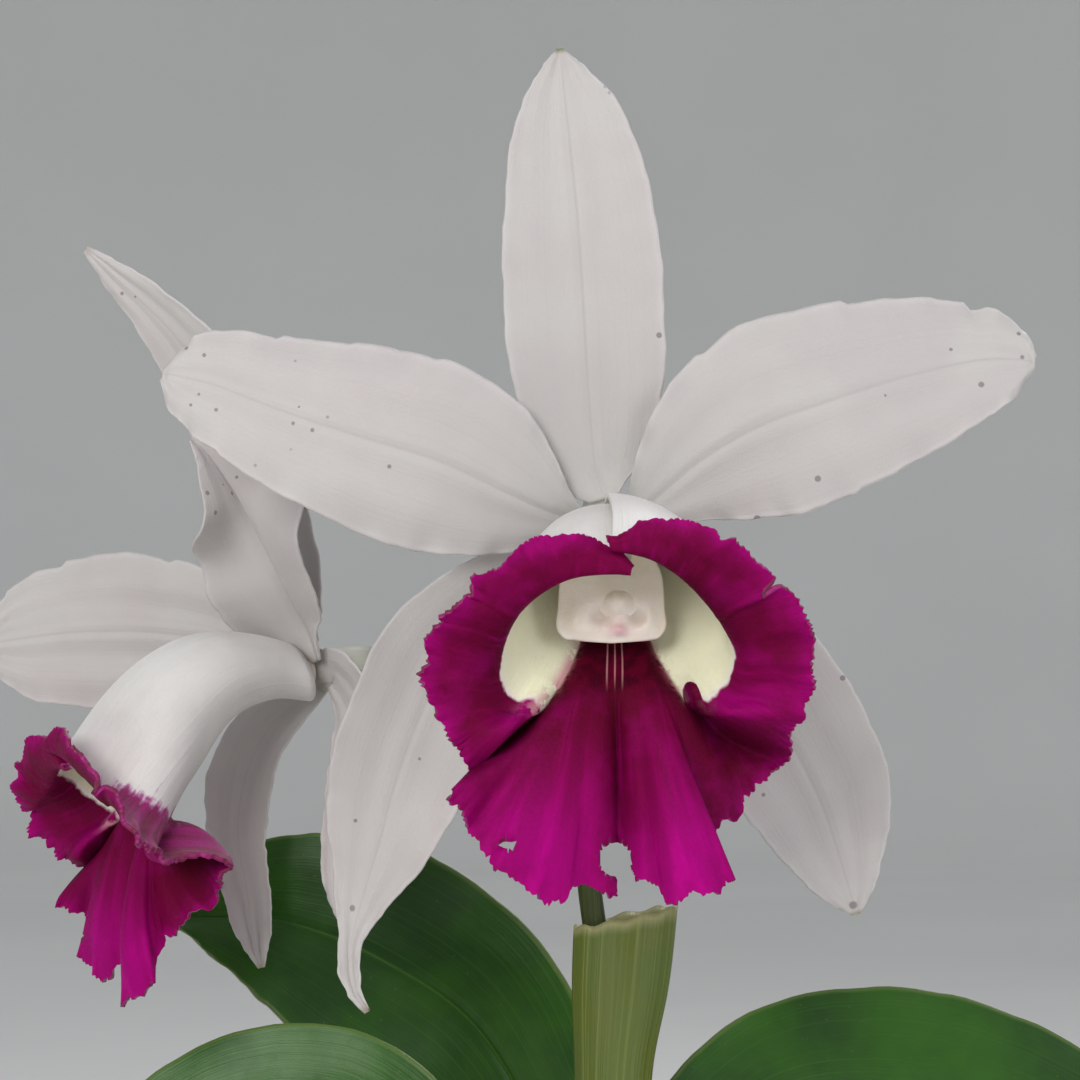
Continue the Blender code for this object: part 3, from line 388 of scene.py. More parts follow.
# The dark floor of the throat: its half-angle at each ring, at the rim and beyond it
FLOOR_HALF_ANGLES = [10.0, 14.0, 18.0, 23.0, 33.0, 60.0, 90.0]
FLOOR_RISE = 1.3
KEEL_SPACING = 0.0150
# Gaps in the lip, as seen: right, up, and half sizes
LIP_GAPS = [(-13.7, -44.1, 1.1, 0.5), (1.5, -46.1, 2.3, 2.4), (3.0, -49.8, 1.5, 2.6)]
# The side bloom's lip and column are this much lower in shape, and rise and then sink by these
# factors of the distance forward, of its square and of its cube, as far as the arch's end
SIDE_SQUASH = 0.87
SIDE_ARCH = (0.174, 0.0017, -0.000316)
SIDE_ARCH_END = 38.0

COLUMN_GRID = (96, 90)
CAP_GRID = (64, 40)
COLUMN_LENGTH = 26.5
COLUMN_DROP = 10.2
COLUMN_START = 0.7
COLUMN_ROOT_DROP = 0.3
COLUMN_SHIFT = 0.4
COLUMN_ROOT = 2.5
COLUMN_FLARE = (4.6, 2.7)
# Patches of the column's face: how far right each is, its spread, how far up and its spread. They
# are the cap's seat, the beak, the two pits, the two flaps and the flush round the stigma
COLUMN_PATCHES = (
    (0.9, 2.6, 1.0, 2.8), (1.0, 1.0, -2.9, 0.8), (-1.5, 1.3, -1.1, 1.2), (3.5, 1.3, -1.1, 1.2),
    (-4.6, 2.0, -2.2, 2.4), (5.2, 2.0, -2.2, 2.4), (1.0, 2.4, -2.4, 1.4),
)
CAP_MIDDLE = (1.3, -9.6)
CAP_HALF = (2.8, 2.3)
CAP_HEIGHT = 1.6

# Paths of the leaves: right, back, up, then the half-width on each side of the rib
LEAF_ROWS = {
    "leaf_1": [
        (2.0, 25.6, 183.7, 3.6, 3.6), (6.0, 29.0, 203.0, 7.0, 7.0), (14.5, 31.0, 218.0, 12.0, 12.0),
        (29.0, 31.0, 226.5, 15.5, 15.5), (49.0, 30.0, 226.0, 16.5, 16.5),
        (70.0, 28.0, 219.0, 13.5, 13.5), (86.0, 26.5, 208.0, 7.5, 7.5), (94.0, 26.0, 200.0, 1.2, 1.2),
    ],
    "leaf_2": [
        (-6.0, 42.5, 172.6, 3.6, 3.6), (-5.5, 45.0, 195.0, 7.0, 7.0), (-9.0, 46.5, 216.0, 12.0, 12.0),
        (-20.0, 47.0, 236.0, 16.0, 16.0), (-36.0, 48.0, 247.0, 17.0, 17.0),
        (-50.0, 49.0, 252.0, 13.0, 13.0), (-60.0, 50.0, 252.5, 7.0, 7.0),
        (-66.0, 50.0, 252.0, 1.2, 1.2),
    ],
    "leaf_3": [
        (-24.0, -3.5, 165.5, 3.6, 3.6), (-23.0, 0.0, 188.0, 7.0, 7.0), (-25.5, 3.0, 208.0, 12.0, 12.0),
        (-35.0, 6.0, 222.0, 15.5, 15.5), (-50.0, 8.0, 225.0, 15.5, 15.5),
        (-66.0, 8.0, 218.0, 12.0, 12.0), (-78.0, 7.0, 207.0, 6.5, 6.5), (-84.0, 6.0, 199.0, 1.2, 1.2),
    ],
    "leaf_4": [
        (34.0, 34.0, 150.8, 3.4, 3.4), (38.0, 41.0, 168.0, 7.0, 7.0), (48.0, 54.0, 184.0, 12.0, 12.0),
        (61.0, 67.0, 193.0, 15.0, 15.0), (76.0, 80.0, 194.0, 14.0, 14.0),
        (90.0, 91.0, 187.0, 9.0, 9.0), (99.0, 98.0, 178.0, 1.2, 1.2),
    ],
}
LEAF_FACES = {
    "leaf_1": [(0.2, -1.0, 0.0), (0.1, -0.6, 0.9)],
    "leaf_2": [(-0.4, -1.0, 0.0), (-0.1, -0.9, 0.5)],
    "leaf_3": [(-0.5, -1.0, 0.0), (0.0, -0.7, 0.8)],
    "leaf_4": [(-0.7, -0.7, 0.3), (0.3, 0.3, 1.0)],
}
LEAF_FORM = {"fold": 0.28, "ripple": 0.35, "keel": 0.9, "keel_width": 1.1, "pleat": 0.1, "flesh_power": 4}
# Each growth: its foot where its creeping stem starts, its foot below the bulb, its top, and the
# bulb's greatest radius
GROWTHS = {
    "pseudobulb_1": ((0.6, 31.0), (4.0, 12.0), (1.6, 21.5, 183.0), 9.0),
    "pseudobulb_2": ((21.5, 31.0), (0.0, 38.0), (-6.0, 42.5, 172.0), 8.6),
    "pseudobulb_3": ((-4.0, 8.0), (-20.0, -7.0), (-24.0, -3.5, 165.0), 8.6),
    "pseudobulb_4": ((39.0, 17.0), (30.0, 28.0), (34.0, 34.0, 150.0), 8.2),
}
CREEP_RADIUS = 3.6
CREEP_LIFT = 0.4
CREEP_TURN = 0.6
BULB_FOOT_LIFT = 7.0
BULB_SWELL = ((0.25, 0.78), (0.45, 0.97), (0.65, 1.0), (0.85, 0.84))
BULB_NECK = 5.2
BULB_RIBS = 7
BULB_RIB_DEPTH = 0.05
# How far up its growth each husk reaches, and the seed of its torn edge
HUSKS = {
    "pseudobulb_1": (0.62, 3), "pseudobulb_2": (0.55, 5), "pseudobulb_3": (0.5, 8),
    "pseudobulb_4": (0.42, 13),
}

HUSK_GRID = (100, 36)
HUSK_FOOT_SHARE = 0.17

SHEATH_ROWS = [
    (1.2, 19.0, 183.4, 3.6, 2.6), (0.6, 19.6, 200.0, 4.6, 3.6), (0.0, 20.4, 218.0, 5.0, 4.2),
    (0.2, 21.2, 233.0, 5.4, 4.4), (1.2, 21.8, 245.0, 6.7, 4.5), (2.0, 22.0, 255.5, 7.2, 4.2),
]
SHEATH_ROUND = 96
SHEATH_LONG = 100
SHEATH_WALL = 0.9
SHEATH_POCKET = 0.35
SHEATH_CORNER = 1.5
SHEATH_OUTSIDE = 0.6

STALK_ROWS = [
    (0.0, 20.4, 215.5, 1.75), (-0.4, 21.2, 232.0, 1.75), (-1.6, 22.2, 247.0, 1.75),
    (-3.4, 23.5, 262.0, 1.75), (-3.0, 26.0, 280.0, 1.9), (-2.2, 26.0, 297.0, 2.2),
    (-1.6, 19.5, 311.0, 2.6), (-1.45, 11.0, 314.6, 3.0), (-1.4, 4.8, 313.5, 3.4),
    (-1.4, 0.6, 311.85, 3.7),
]
BRANCH_ROWS = [
    (-3.2, 25.4, 276.0, 1.5), (-10.0, 28.5, 281.5, 1.7), (-20.0, 33.5, 287.5, 1.9),
    (-29.5, 37.8, 290.9, 2.3), (-36.8, 38.2, 291.4, 2.9), (-43.1, 35.25, 290.75, 3.3),
]

ROOT_PATHS = {
    "root_1": [(-12.0, 8.5), (-24.0, 14.0), (-33.0, 22.0), (-36.0, 33.0)],
    "root_2": [(13.5, 13.0), (24.0, 6.0), (36.0, 6.0), (44.0, -3.0)],
    "root_3": [(-16.0, -18.0), (-8.0, -28.0), (3.0, -32.0), (12.0, -40.0)],
}
ROOT_RADIUS = 1.6

# The stage: where the floor curves up and how high it goes, and each light's place, size and colour
WALL_RADIUS = 900.0
WALL_TOP = 2600.0
LIGHT_AIM = (-0.01, 0.0, 0.27)
LIGHTS = {
    "key": ((-0.6, -1.25, 0.8), 0.7, (1.0, 0.985, 0.96)),
    "fill": ((1.1, -1.0, 0.55), 0.9, (0.95, 0.975, 1.0)),
    "back": ((0.5, 1.2, 1.3), 0.7, (1.0, 1.0, 1.0)),
}
AIR_COLOUR = (0.95, 0.97, 1.0, 1.0)
AIR_STRENGTH = 0.6
CAMERA_NEAR = 0.02

# Second colours, laid over the main ones that a user may change
# Painted shade: the petals' grey towards their root, near the throat
PETAL_FOOT_PAINTED_SHADE = (0.45, 0.44, 0.42)
PETAL_VEIN = (0.44, 0.39, 0.41)
# Painted shade along the midrib's groove
PETAL_RIB_PAINTED_SHADE = (0.42, 0.38, 0.38)
# Painted highlight along the petals' thin edges
PETAL_EDGE_PAINTED_HIGHLIGHT = (0.66, 0.63, 0.63)
PETAL_SPECK = (0.16, 0.12, 0.13)
FRECKLE = (0.16, 0.10, 0.12)
CREAM_CLOUD = (0.76, 0.73, 0.62)
# Painted light: a paler cream deep in the throat, lifting the shade on its walls
CREAM_DEEP_PAINTED_LIGHT = (0.90, 0.88, 0.74)
CREAM_RIM = (0.80, 0.72, 0.72)
THROAT_LINE = (0.50, 0.22, 0.24)
CREASE_PINK = (0.56, 0.26, 0.30)
TUBE_WHITE = (0.74, 0.72, 0.70)
TUBE_VEIN = (0.58, 0.55, 0.50)
TUBE_PINK = (0.55, 0.30, 0.46)
TUBE_ROSE = (0.40, 0.08, 0.30)
COLUMN_LIGHT = (0.82, 0.75, 0.69)
# Painted shade in the pits beside the column's beak
COLUMN_PIT_PAINTED_SHADE = (0.60, 0.49, 0.44)
COLUMN_BLUSH = (0.72, 0.44, 0.48)
COLUMN_HEM = (0.22, 0.05, 0.07)
LEAF_DARK = (0.012, 0.05, 0.006)
LEAF_STREAK = (0.05, 0.15, 0.02)
LEAF_RIB = (0.07, 0.16, 0.03)
LEAF_EDGE = (0.13, 0.19, 0.05)
LEAF_FOOT = (0.10, 0.20, 0.04)
LEAF_DRY_TIP = (0.22, 0.16, 0.06)
LEAF_FLECK = (0.06, 0.13, 0.03)
BULB_PALE = (0.26, 0.30, 0.09)
BULB_DARK = (0.07, 0.12, 0.02)
STALK_PALE = (0.10, 0.12, 0.03)
STALK_DARK = (0.03, 0.045, 0.006)
STALK_TOP = (0.55, 0.54, 0.48)
SHEATH_DARK = (0.08, 0.12, 0.012)
SHEATH_LINE = (0.24, 0.27, 0.06)
SHEATH_DRY = (0.36, 0.33, 0.16)
HUSK_PALE = (0.68, 0.60, 0.45)
HUSK_FOOT = (0.16, 0.10, 0.05)
ROOT_GREY = (0.30, 0.31, 0.22)
ROOT_TIP = (0.14, 0.26, 0.06)
ROOT_START = (0.22, 0.15, 0.09)
BARK_RED = (0.30, 0.14, 0.07)
BARK_GREY = (0.24, 0.20, 0.16)
BARK_CRACK = (0.02, 0.012, 0.008)
CLAY_DARK = (0.30, 0.105, 0.05)
CLAY_GRIT = (0.52, 0.26, 0.15)
CLAY_BLOOM = (0.58, 0.47, 0.39)
CLAY_ALGAE = (0.16, 0.14, 0.06)
CLAY_DAMP = (0.16, 0.07, 0.04)


class OrchidSizes(bpy.types.PropertyGroup):
    """Sizes of the plant's parts that a user may change."""

    petal_thickness: bpy.props.FloatProperty(
        name="Petal Thickness", description="Thickness of the sepals and petals in their middle",
        default=0.0008, min=0.0003, unit="LENGTH",
    )
    lip_thickness: bpy.props.FloatProperty(
        name="Lip Thickness", description="Thickness of the lip",
        default=0.0007, min=0.0003, unit="LENGTH",
    )
    leaf_thickness: bpy.props.FloatProperty(
        name="Leaf Thickness", description="Thickness of the leaves beside their rib",
        default=0.0016, min=0.0005, unit="LENGTH",
    )
    husk_thickness: bpy.props.FloatProperty(
        name="Husk Thickness", description="Thickness of the dry husks round the pseudobulbs",
        default=0.00022, min=0.0001, unit="LENGTH",
    )
    tooth_depth: bpy.props.FloatProperty(
        name="Tooth Depth", description="How far the small teeth of the lip's margin stand out",
        default=0.0009, min=0.0, unit="LENGTH",
    )
    bark_chips: bpy.props.IntProperty(
        name="Bark Chips", description="How many chips of bark lie in the pot", default=430, min=0
    )


class OrchidColours(bpy.types.PropertyGroup):
    """Main colours of the plant and its pot."""

    petal: bpy.props.FloatVectorProperty(
        name="Petal", description="White of the sepals and petals",
        default=(0.53, 0.505, 0.49), subtype="COLOR",
    )
    tinge: bpy.props.FloatVectorProperty(
        name="Petal Tinge", description="Faint violet of the sepals and petals",
        default=(0.50, 0.455, 0.46), subtype="COLOR",
    )
    cream: bpy.props.FloatVectorProperty(
        name="Throat Cream", description="Pale yellow-green of the throat's walls",
        default=(0.80, 0.79, 0.58), subtype="COLOR",
    )
    magenta: bpy.props.FloatVectorProperty(
        name="Lip Magenta", description="Main colour of the frilled lip",
        default=(0.185, 0.0, 0.052), subtype="COLOR",
    )
    purple: bpy.props.FloatVectorProperty(
        name="Lip Purple", description="Colour of the lip where it catches the light",
        default=(0.43, 0.0, 0.21), subtype="COLOR",
    )
    # Also used as painted shade in the lip's folds
    crimson: bpy.props.FloatVectorProperty(
        name="Lip Crimson", description="Colour of the lip in its folds",
        default=(0.105, 0.0, 0.016), subtype="COLOR",
    )
    # Also used as painted shade in the lip's creases and under its lobes
    burgundy: bpy.props.FloatVectorProperty(
        name="Throat Burgundy", description="Dark colour of the throat's floor and of the lip beside it",
        default=(0.052, 0.0, 0.009), subtype="COLOR",
    )
    column: bpy.props.FloatVectorProperty(
        name="Column", description="Pale colour of the column",
        default=(0.78, 0.68, 0.60), subtype="COLOR",
    )
    leaf: bpy.props.FloatVectorProperty(
        name="Leaf", description="Green of the leaves", default=(0.028, 0.105, 0.008), subtype="COLOR"
    )
    bulb: bpy.props.FloatVectorProperty(
        name="Pseudobulb", description="Green of the pseudobulbs",
        default=(0.12, 0.19, 0.03), subtype="COLOR",
    )
    sheath: bpy.props.FloatVectorProperty(
        name="Sheath", description="Yellow-green of the sheath",
        default=(0.095, 0.12, 0.008), subtype="COLOR",
    )
    stalk: bpy.props.FloatVectorProperty(
        name="Stalk", description="Olive green of the flower stalk",
        default=(0.03, 0.042, 0.006), subtype="COLOR",
    )
    husk: bpy.props.FloatVectorProperty(
        name="Husk", description="Straw colour of the dry husks",
        default=(0.52, 0.42, 0.27), subtype="COLOR",
    )
    root: bpy.props.FloatVectorProperty(
        name="Root", description="Silver grey of the roots", default=(0.46, 0.46, 0.38), subtype="COLOR"
    )
    bark: bpy.props.FloatVectorProperty(
        name="Bark", description="Brown of the potting bark",
        default=(0.15, 0.07, 0.035), subtype="COLOR",
    )
    clay: bpy.props.FloatVectorProperty(
        name="Clay", description="Colour of the fired clay",
        default=(0.40, 0.155, 0.075), subtype="COLOR",
    )


class OrchidStage(bpy.types.PropertyGroup):
    """The floor and the lights."""

    floor_radius: bpy.props.FloatProperty(
        name="Floor Radius", description="Radius of the round floor, up to where it curves up",
        default=3.2, min=0.5, unit="LENGTH",
    )
    floor: bpy.props.FloatVectorProperty(
        name="Floor", description="Colour of the floor and its curved wall",
        default=(0.70, 0.70, 0.69), subtype="COLOR",
    )
    key_power: bpy.props.FloatProperty(
        name="Key Light", description="Power of the large light above the front left",
        default=11.5, min=0.0, unit="POWER",
    )
    fill_power: bpy.props.FloatProperty(
        name="Fill Light", description="Power of the softer light on the front right",
        default=6.0, min=0.0, unit="POWER",
    )
    back_power: bpy.props.FloatProperty(
        name="Back Light", description="Power of the light behind the plant",
        default=9.0, min=0.0, unit="POWER",
    )


def unit(vectors):
    """Vectors brought to length 1."""
    return vectors / np.linalg.norm(vectors, axis=-1, keepdims=True)


def curve(before, here, there, after, f):
    """The smooth curve from here to there, at a share f of the way, led by the points beside them."""
    return 0.5 * (
        2.0 * here
        + (there - before) * f
        + (2.0 * before - 5.0 * here + 4.0 * there - after) * f * f
        + (3.0 * here - 3.0 * there + after - before) * f**3
    )


def along(rows, t):
    """The smooth curve through evenly spaced rows, at each t from 0 to 1."""
    rows = np.asarray(rows, float)
    place = np.clip(t, 0.0, 1.0) * (len(rows) - 1)
    i = np.minimum(place.astype(int), len(rows) - 2)
    f = (place - i)[:, None]
    rows = np.concatenate([2.0 * rows[:1] - rows[1:2], rows, 2.0 * rows[-1:] - rows[-2:-1]])
    return curve(rows[i], rows[i + 1], rows[i + 2], rows[i + 3], f)


def through(stations, w):
    """The smooth curve through stations, each an array of points, at each w counted in stations."""
    last = len(stations) - 1
    stations = np.array(stations)
    i = np.clip(w.astype(int), 0, last - 1)
    f = (w - i)[:, None]
    each = np.arange(len(w))
    here, there = stations[i, each], stations[i + 1, each]
    before = np.where((i > 0)[:, None], stations[np.maximum(i - 1, 0), each], 2.0 * here - there)
    beyond = stations[np.minimum(i + 2, last), each]
    after = np.where((i + 2 <= last)[:, None], beyond, 2.0 * there - here)
    return curve(before, here, there, after, f)


def step(values, low, high):
    """0 below low and 1 above high, with a smooth change between."""
    share = np.clip((values - low) / (high - low), 0.0, 1.0)
    return share * share * (3.0 - 2.0 * share)


def plateau(values, start, full, fade, end):
    """1 from full to fade and 0 outside start and end, with smooth changes between."""
    return step(values, start, full) * (1.0 - step(values, fade, end))


def hump(values, middle, spread):
    """1 at the middle, falling off on both sides by its spread."""
    return np.exp(-(((values - middle) / spread) ** 2))


def seen(bloom, right, up, forward):
    """Points that are seen this far from a bloom's middle and stand this far in front of it."""
    nearer = (bloom[1] - forward - EYE[1]) / (bloom[1] - EYE[1])
    x = EYE[0] + (bloom[0] + right - EYE[0]) * nearer
    z = EYE[2] + (bloom[2] + up - EYE[2]) * nearer
    y = bloom[1] - forward + 0.0 * x
    return np.stack([x, y, z], axis=-1)


def sight(bloom, points):
    """Where points are seen from the front, right of and up from a bloom's middle."""
    nearer = (points[:, 1] - EYE[1]) / (bloom[1] - EYE[1])
    right = EYE[0] + (points[:, 0] - EYE[0]) / nearer - bloom[0]
    up = EYE[2] + (points[:, 2] - EYE[2]) / nearer - bloom[2]
    return right, up


def turned(points, turn):
    """Points turned about the upright axis."""
    points = np.asarray(points, float)
    x, y, z = points[..., 0], points[..., 1], points[..., 2]
    swing, reach = math.sin(turn), math.cos(turn)
    return np.stack([x * reach - y * swing, x * swing + y * reach, z], axis=-1)


def frames(rows, t, faces):
    """Points on a path, the directions across it and the directions it faces."""
    path = np.asarray(rows, float)[:, :3]
    ahead = along(path, np.minimum(t + 0.01, 1.0)) - along(path, np.maximum(t - 0.01, 0.0))
    tangent = unit(ahead)
    across = unit(np.cross(tangent, unit(along(faces, t))))
    return along(path, t), across, np.cross(across, tangent)


def skin(around, lengths, place):
    """A grid moved to place(u, v), which gives points in millimetres and named values at them."""
    bm = bmesh.new()
    bm.loops.layers.uv.new("Surface")
    bmesh.ops.create_grid(bm, x_segments=around, y_segments=lengths, size=0.5, calc_uvs=True)
    flat = np.array([vert.co[:2] for vert in bm.verts]) + 0.5
    points, values = place(flat[:, 0], flat[:, 1])
    layers = [(bm.verts.layers.float.new(name), array) for name, array in values.items()]
    for number, vert in enumerate(bm.verts):
        vert.co = Vector(points[number]) * MM
        for layer, array in layers:
            vert[layer] = array[number]
    bmesh.ops.remove_doubles(bm, verts=bm.verts, dist=WELD)
    bmesh.ops.recalc_face_normals(bm, faces=bm.faces)
    return bm


def added(name, bm, finishes=()):
    """Turns a bmesh into an object in the scene, smooth where it has a finish."""
    mesh = bpy.data.meshes.new(name)
    bm.to_mesh(mesh)
    bm.free()
    if finishes:
        mesh.shade_smooth()
    for finish in finishes:
        mesh.materials.append(finish)
    obj = bpy.data.objects.new(name, mesh)
    bpy.context.scene.collection.objects.link(obj)
    return obj


def piece(obj, nodes=()):
    """Makes an object a piece of the plant that stands for these nodes."""
    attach(obj, "root")
    if nodes:
        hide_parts(*nodes)
    return obj


def thicken(obj, thickness, thin_edge=1.0, outside=0):
    """Gives a skin its thickness, which falls to the share thin_edge where its value "flesh" is 0.
    Its outer face may take another of its materials."""
    wall = obj.modifiers.new("Thickness", "SOLIDIFY")
    wall.thickness = thickness
    wall.offset = 0.0
    wall.material_offset = outside
    if thin_edge < 1.0:
        group = obj.vertex_groups.new(name="Flesh")
        flesh = obj.data.attributes["flesh"].data
        for number, value in enumerate(flesh):
            group.add([number], max(value.value, 0.0), "REPLACE")
        wall.vertex_group = "Flesh"
        wall.thickness_vertex_group = thin_edge


def combine(obj, operation, others):
    """Cuts other objects out of one, or joins them to it, and removes them."""
    for other in others:
        change = obj.modifiers.new("Boolean", "BOOLEAN")
        change.operation = operation
        change.object = other
    graph = bpy.context.evaluated_depsgraph_get()
    mesh = bpy.data.meshes.new_from_object(obj.evaluated_get(graph))
    obj.modifiers.clear()
    obj.data = mesh
    for other in others:
        bpy.data.objects.remove(other)


class Finish:
    """A material, with short ways to add and join its nodes and to paint colours over each other."""

    def __init__(self, name, colour):
        self.material = bpy.data.materials.new(name)
        self.material.use_nodes = True
        self.tree = self.material.node_tree
        self.colour = colour
        self.place = self.node("TexCoord", {}, "Object")

    def feed(self, socket, value):
        """Joins a socket to another, or sets its value."""
        if isinstance(value, bpy.types.NodeSocket):
            self.tree.links.new(value, socket)
        elif socket.type == "RGBA" and len(value) == 3:
            socket.default_value = (*value, 1.0)
        else:
            socket.default_value = value

    def node(self, kind, inputs, output=0, **settings):
        """Adds a node, feeds its inputs and gives one of its outputs."""
        made = self.tree.nodes.new("ShaderNode" + kind)
        for name, value in settings.items():
            setattr(made, name, value)
        for name, value in inputs.items():
            self.feed(made.inputs[name], value)
        return made.outputs[output]

    def surface(self):
        """The piece's own surface coordinates: across and along."""
        return self.node("UVMap", {}, uv_map="Surface")

    def value(self, name):
        """A value that the mesh holds at its points."""
        return self.node("Attribute", {}, "Fac", attribute_name=name)

    def split(self, vector, axis):
        return self.node("SeparateXYZ", {"Vector": vector}, axis)

    def stretched(self, vector, scale):
        return self.node("Mapping", {"Vector": vector, "Scale": scale})

    def noise(self, scale, detail=3.0, roughness=0.55, distortion=0.0, vector=None):
        inputs = {"Vector": vector or self.place, "Scale": scale, "Detail": detail}
        inputs.update({"Roughness": roughness, "Distortion": distortion})
        return self.node("TexNoise", inputs, "Fac")

    def streaks(self, across, lengthwise, detail=3.0, roughness=0.6):
        """Noise drawn out along the piece, in its own surface coordinates."""
        drawn = self.stretched(self.surface(), (across, lengthwise, 1.0))
        return self.noise(1.0, detail, roughness, vector=drawn)

    def cells(self, scale, feature="F1"):
        inputs = {"Vector": self.place, "Scale": scale}
        return self.node("TexVoronoi", inputs, "Distance", feature=feature)

    def span(self, value, low, high, to_low=0.0, to_high=1.0):
        """A value's way from low to high, as a smooth change from one number to another."""
        inputs = {"Value": value, "From Min": low, "From Max": high, "To Min": to_low, "To Max": to_high}
        return self.node("MapRange", inputs, interpolation_type="SMOOTHSTEP")

    def maths(self, operation, first, second=0.0):
        return self.node("Math", {0: first, 1: second}, operation=operation)

    def product(self, first, second):
        return self.maths("MULTIPLY", first, second)

    def gap(self, value, middle):
        """How far a value is from a middle, on either side."""
        return self.maths("ABSOLUTE", self.maths("SUBTRACT", value, middle))

    def mix(self, under, over, mask, *limits):
        """Two colours mixed by a mask, or by where its value lies between limits."""
        mask = self.span(mask, *limits) if limits else mask
        return self.node("Mix", {0: mask, 6: under, 7: over}, 2, data_type="RGBA")

    def paint(self, over, mask, *limits):
        """Lays a colour over what is painted so far."""
        self.colour = self.mix(self.colour, over, mask, *limits)

    def away(self, point):
        """How far each place on the surface is from a point."""
        return self.node("VectorMath", {0: self.place, 1: point}, "Value", operation="DISTANCE")

    def done(self, *reliefs, **inputs):
        """The material, with its colour, its reliefs over each other (height, distance and strength
        of each) and other inputs of the shader."""
        inputs["Base_Color"] = self.colour
        for height, distance, strength in reliefs:
            relief = {"Height": height, "Distance": distance, "Strength": strength}
            if "Normal" in inputs:
                relief["Normal"] = inputs["Normal"]
            inputs["Normal"] = self.node("Bump", relief)
        shader = self.tree.nodes["Principled BSDF"]
        for name, value in inputs.items():
            self.feed(shader.inputs[name.replace("_", " ")], value)
        return self.material


def shade(colour, share):
    """A colour made darker or lighter by a share."""
    return tuple(channel * share for channel in colour)


def petal_finish(name, specks, tip):
    """White petal skin: faint violet clouds, fine veins, painted shade towards the root and along the
    midrib, a painted highlight along the edges, and dark specks.
    """
    colours = bpy.context.scene.orchid_colours
    skin_half = 0.5 * bpy.context.scene.orchid_sizes.petal_thickness
    finish = Finish(name, colours.petal)
    surface = finish.surface()
    v = finish.split(surface, "Y")
    off = finish.gap(finish.split(surface, "X"), 0.5)
    clouds = finish.noise(55.0, 2.0, 0.6)
    streaks = finish.streaks(46.0, 2.2, 2.0, 0.5)
    finish.paint(colours.tinge, clouds, 0.40, 0.66, 0.0, 0.75)
    # Painted shade: greyer towards the root, near the throat
    finish.paint(PETAL_FOOT_PAINTED_SHADE, v, 0.0, 0.45, 0.55, 0.0)
    finish.paint(PETAL_VEIN, finish.product(finish.span(streaks, 0.5, 0.72), 0.10))
    # Painted shade along the midrib's groove
    finish.paint(PETAL_RIB_PAINTED_SHADE, off, 0.0, 0.022, 0.45, 0.0)
    # Painted highlight along the thin edges
    finish.paint(PETAL_EDGE_PAINTED_HIGHLIGHT, off, 0.44, 0.5, 0.0, 0.3)
    if tip:
        finish.paint(tip, v, 0.92, 0.99, 0.0, 0.85)
    chosen = finish.span(finish.noise(23.0, 0.0), 0.66, 0.7)
    finish.paint(FRECKLE, finish.product(finish.span(finish.cells(260.0), 0.03, 0.09, 0.5, 0.0), chosen))
    for point, radius in specks:
        inner, outer = math.hypot(0.5 * radius, skin_half), math.hypot(radius, skin_half)
        finish.paint(PETAL_SPECK, finish.away(point), inner, outer, 0.7, 0.0)
    grain = finish.cells(3400.0)
    reliefs = [(grain, 0.00005, 0.5), (streaks, 0.00012, 0.5), (clouds, 0.0006, 0.35)]
    roughness = finish.span(grain, 0.0, 0.8, 0.46, 0.64)
    return finish.done(*reliefs, Roughness=roughness, Sheen_Weight=0.12, Sheen_Roughness=0.4)


def lip_inside_finish(name):
    """The lip's upper face: cream walls, a burgundy floor and the veined magenta limb, with painted light
    deep in the throat, painted shade in the limb's folds and painted highlight where it catches the
    light.
    """
    colours = bpy.context.scene.orchid_colours
    finish = Finish(name, colours.cream)
    limb = finish.value("limb")
    wobble = finish.noise(420.0)
    clouds = finish.noise(130.0)
    ragged = finish.maths("ADD", limb, finish.span(wobble, 0.3, 0.7, -0.03, 0.03))
    streaks = finish.streaks(70.0, 3.0)

    # The crimson and burgundy patches give the lip's own darker colour and also painted shade in its
    # folds, creases and under its lobes; the purple patches give its own colour and also painted
    # highlight where it catches the light
    magenta = finish.mix(colours.magenta, colours.crimson, finish.value("crimson"))
    magenta = finish.mix(magenta, colours.purple, finish.value("purple"))
    magenta = finish.mix(magenta, colours.burgundy, finish.value("deep"))
    magenta = finish.mix(magenta, shade(colours.crimson, 0.7), streaks, 0.42, 0.62, 0.26, 0.0)
    magenta = finish.mix(magenta, shade(colours.purple, 1.2), streaks, 0.56, 0.76, 0.0, 0.22)
    magenta = finish.mix(magenta, colours.purple, clouds, 0.48, 0.72, 0.0, 0.22)
    finish.paint(CREAM_CLOUD, wobble, 0.35, 0.7, 0.0, 0.2)
    # Painted light: paler deep in the throat, lifting the shade that falls on its walls
    finish.paint(CREAM_DEEP_PAINTED_LIGHT, limb, -2.0, -0.6, 0.85, 0.0)
    finish.paint(CREAM_RIM, limb, -0.10, -0.02, 0.0, 0.7)
    finish.paint(magenta, ragged, -0.02, 0.05)

    red = finish.mix(colours.burgundy, shade(colours.crimson, 0.9), wobble, 0.42, 0.62)
    red = finish.mix(red, magenta, limb, -0.3, 0.2)
    off = finish.gap(finish.split(finish.surface(), "X"), 0.5)
    off = finish.maths("MINIMUM", off, finish.gap(off, KEEL_SPACING))
    inward = finish.product(finish.span(limb, -2.2, -1.2), finish.span(limb, -0.45, -0.05, 0.8, 0.0))
    red = finish.mix(red, THROAT_LINE, finish.product(finish.span(off, 0.0004, 0.0026, 1.0, 0.0), inward))
    finish.paint(red, finish.value("floor"))
    blotch = finish.span(finish.noise(620.0), 0.42, 0.54)
    finish.paint(CREASE_PINK, finish.product(blotch, finish.value("crease")))
    rimmed = finish.product(finish.value("frill"), finish.span(wobble, 0.4, 0.6, 0.1, 0.45))
    finish.paint(shade(colours.purple, 1.1), rimmed)

    velvet = finish.cells(3000.0)
    reliefs = [(velvet, 0.00006, 0.6), (streaks, 0.00022, 0.6), (clouds, 0.0008, 0.4)]
    roughness = finish.span(velvet, 0.0, 0.8, 0.55, 0.75)
    return finish.done(*reliefs, Roughness=roughness, Specular_IOR_Level=0.07)


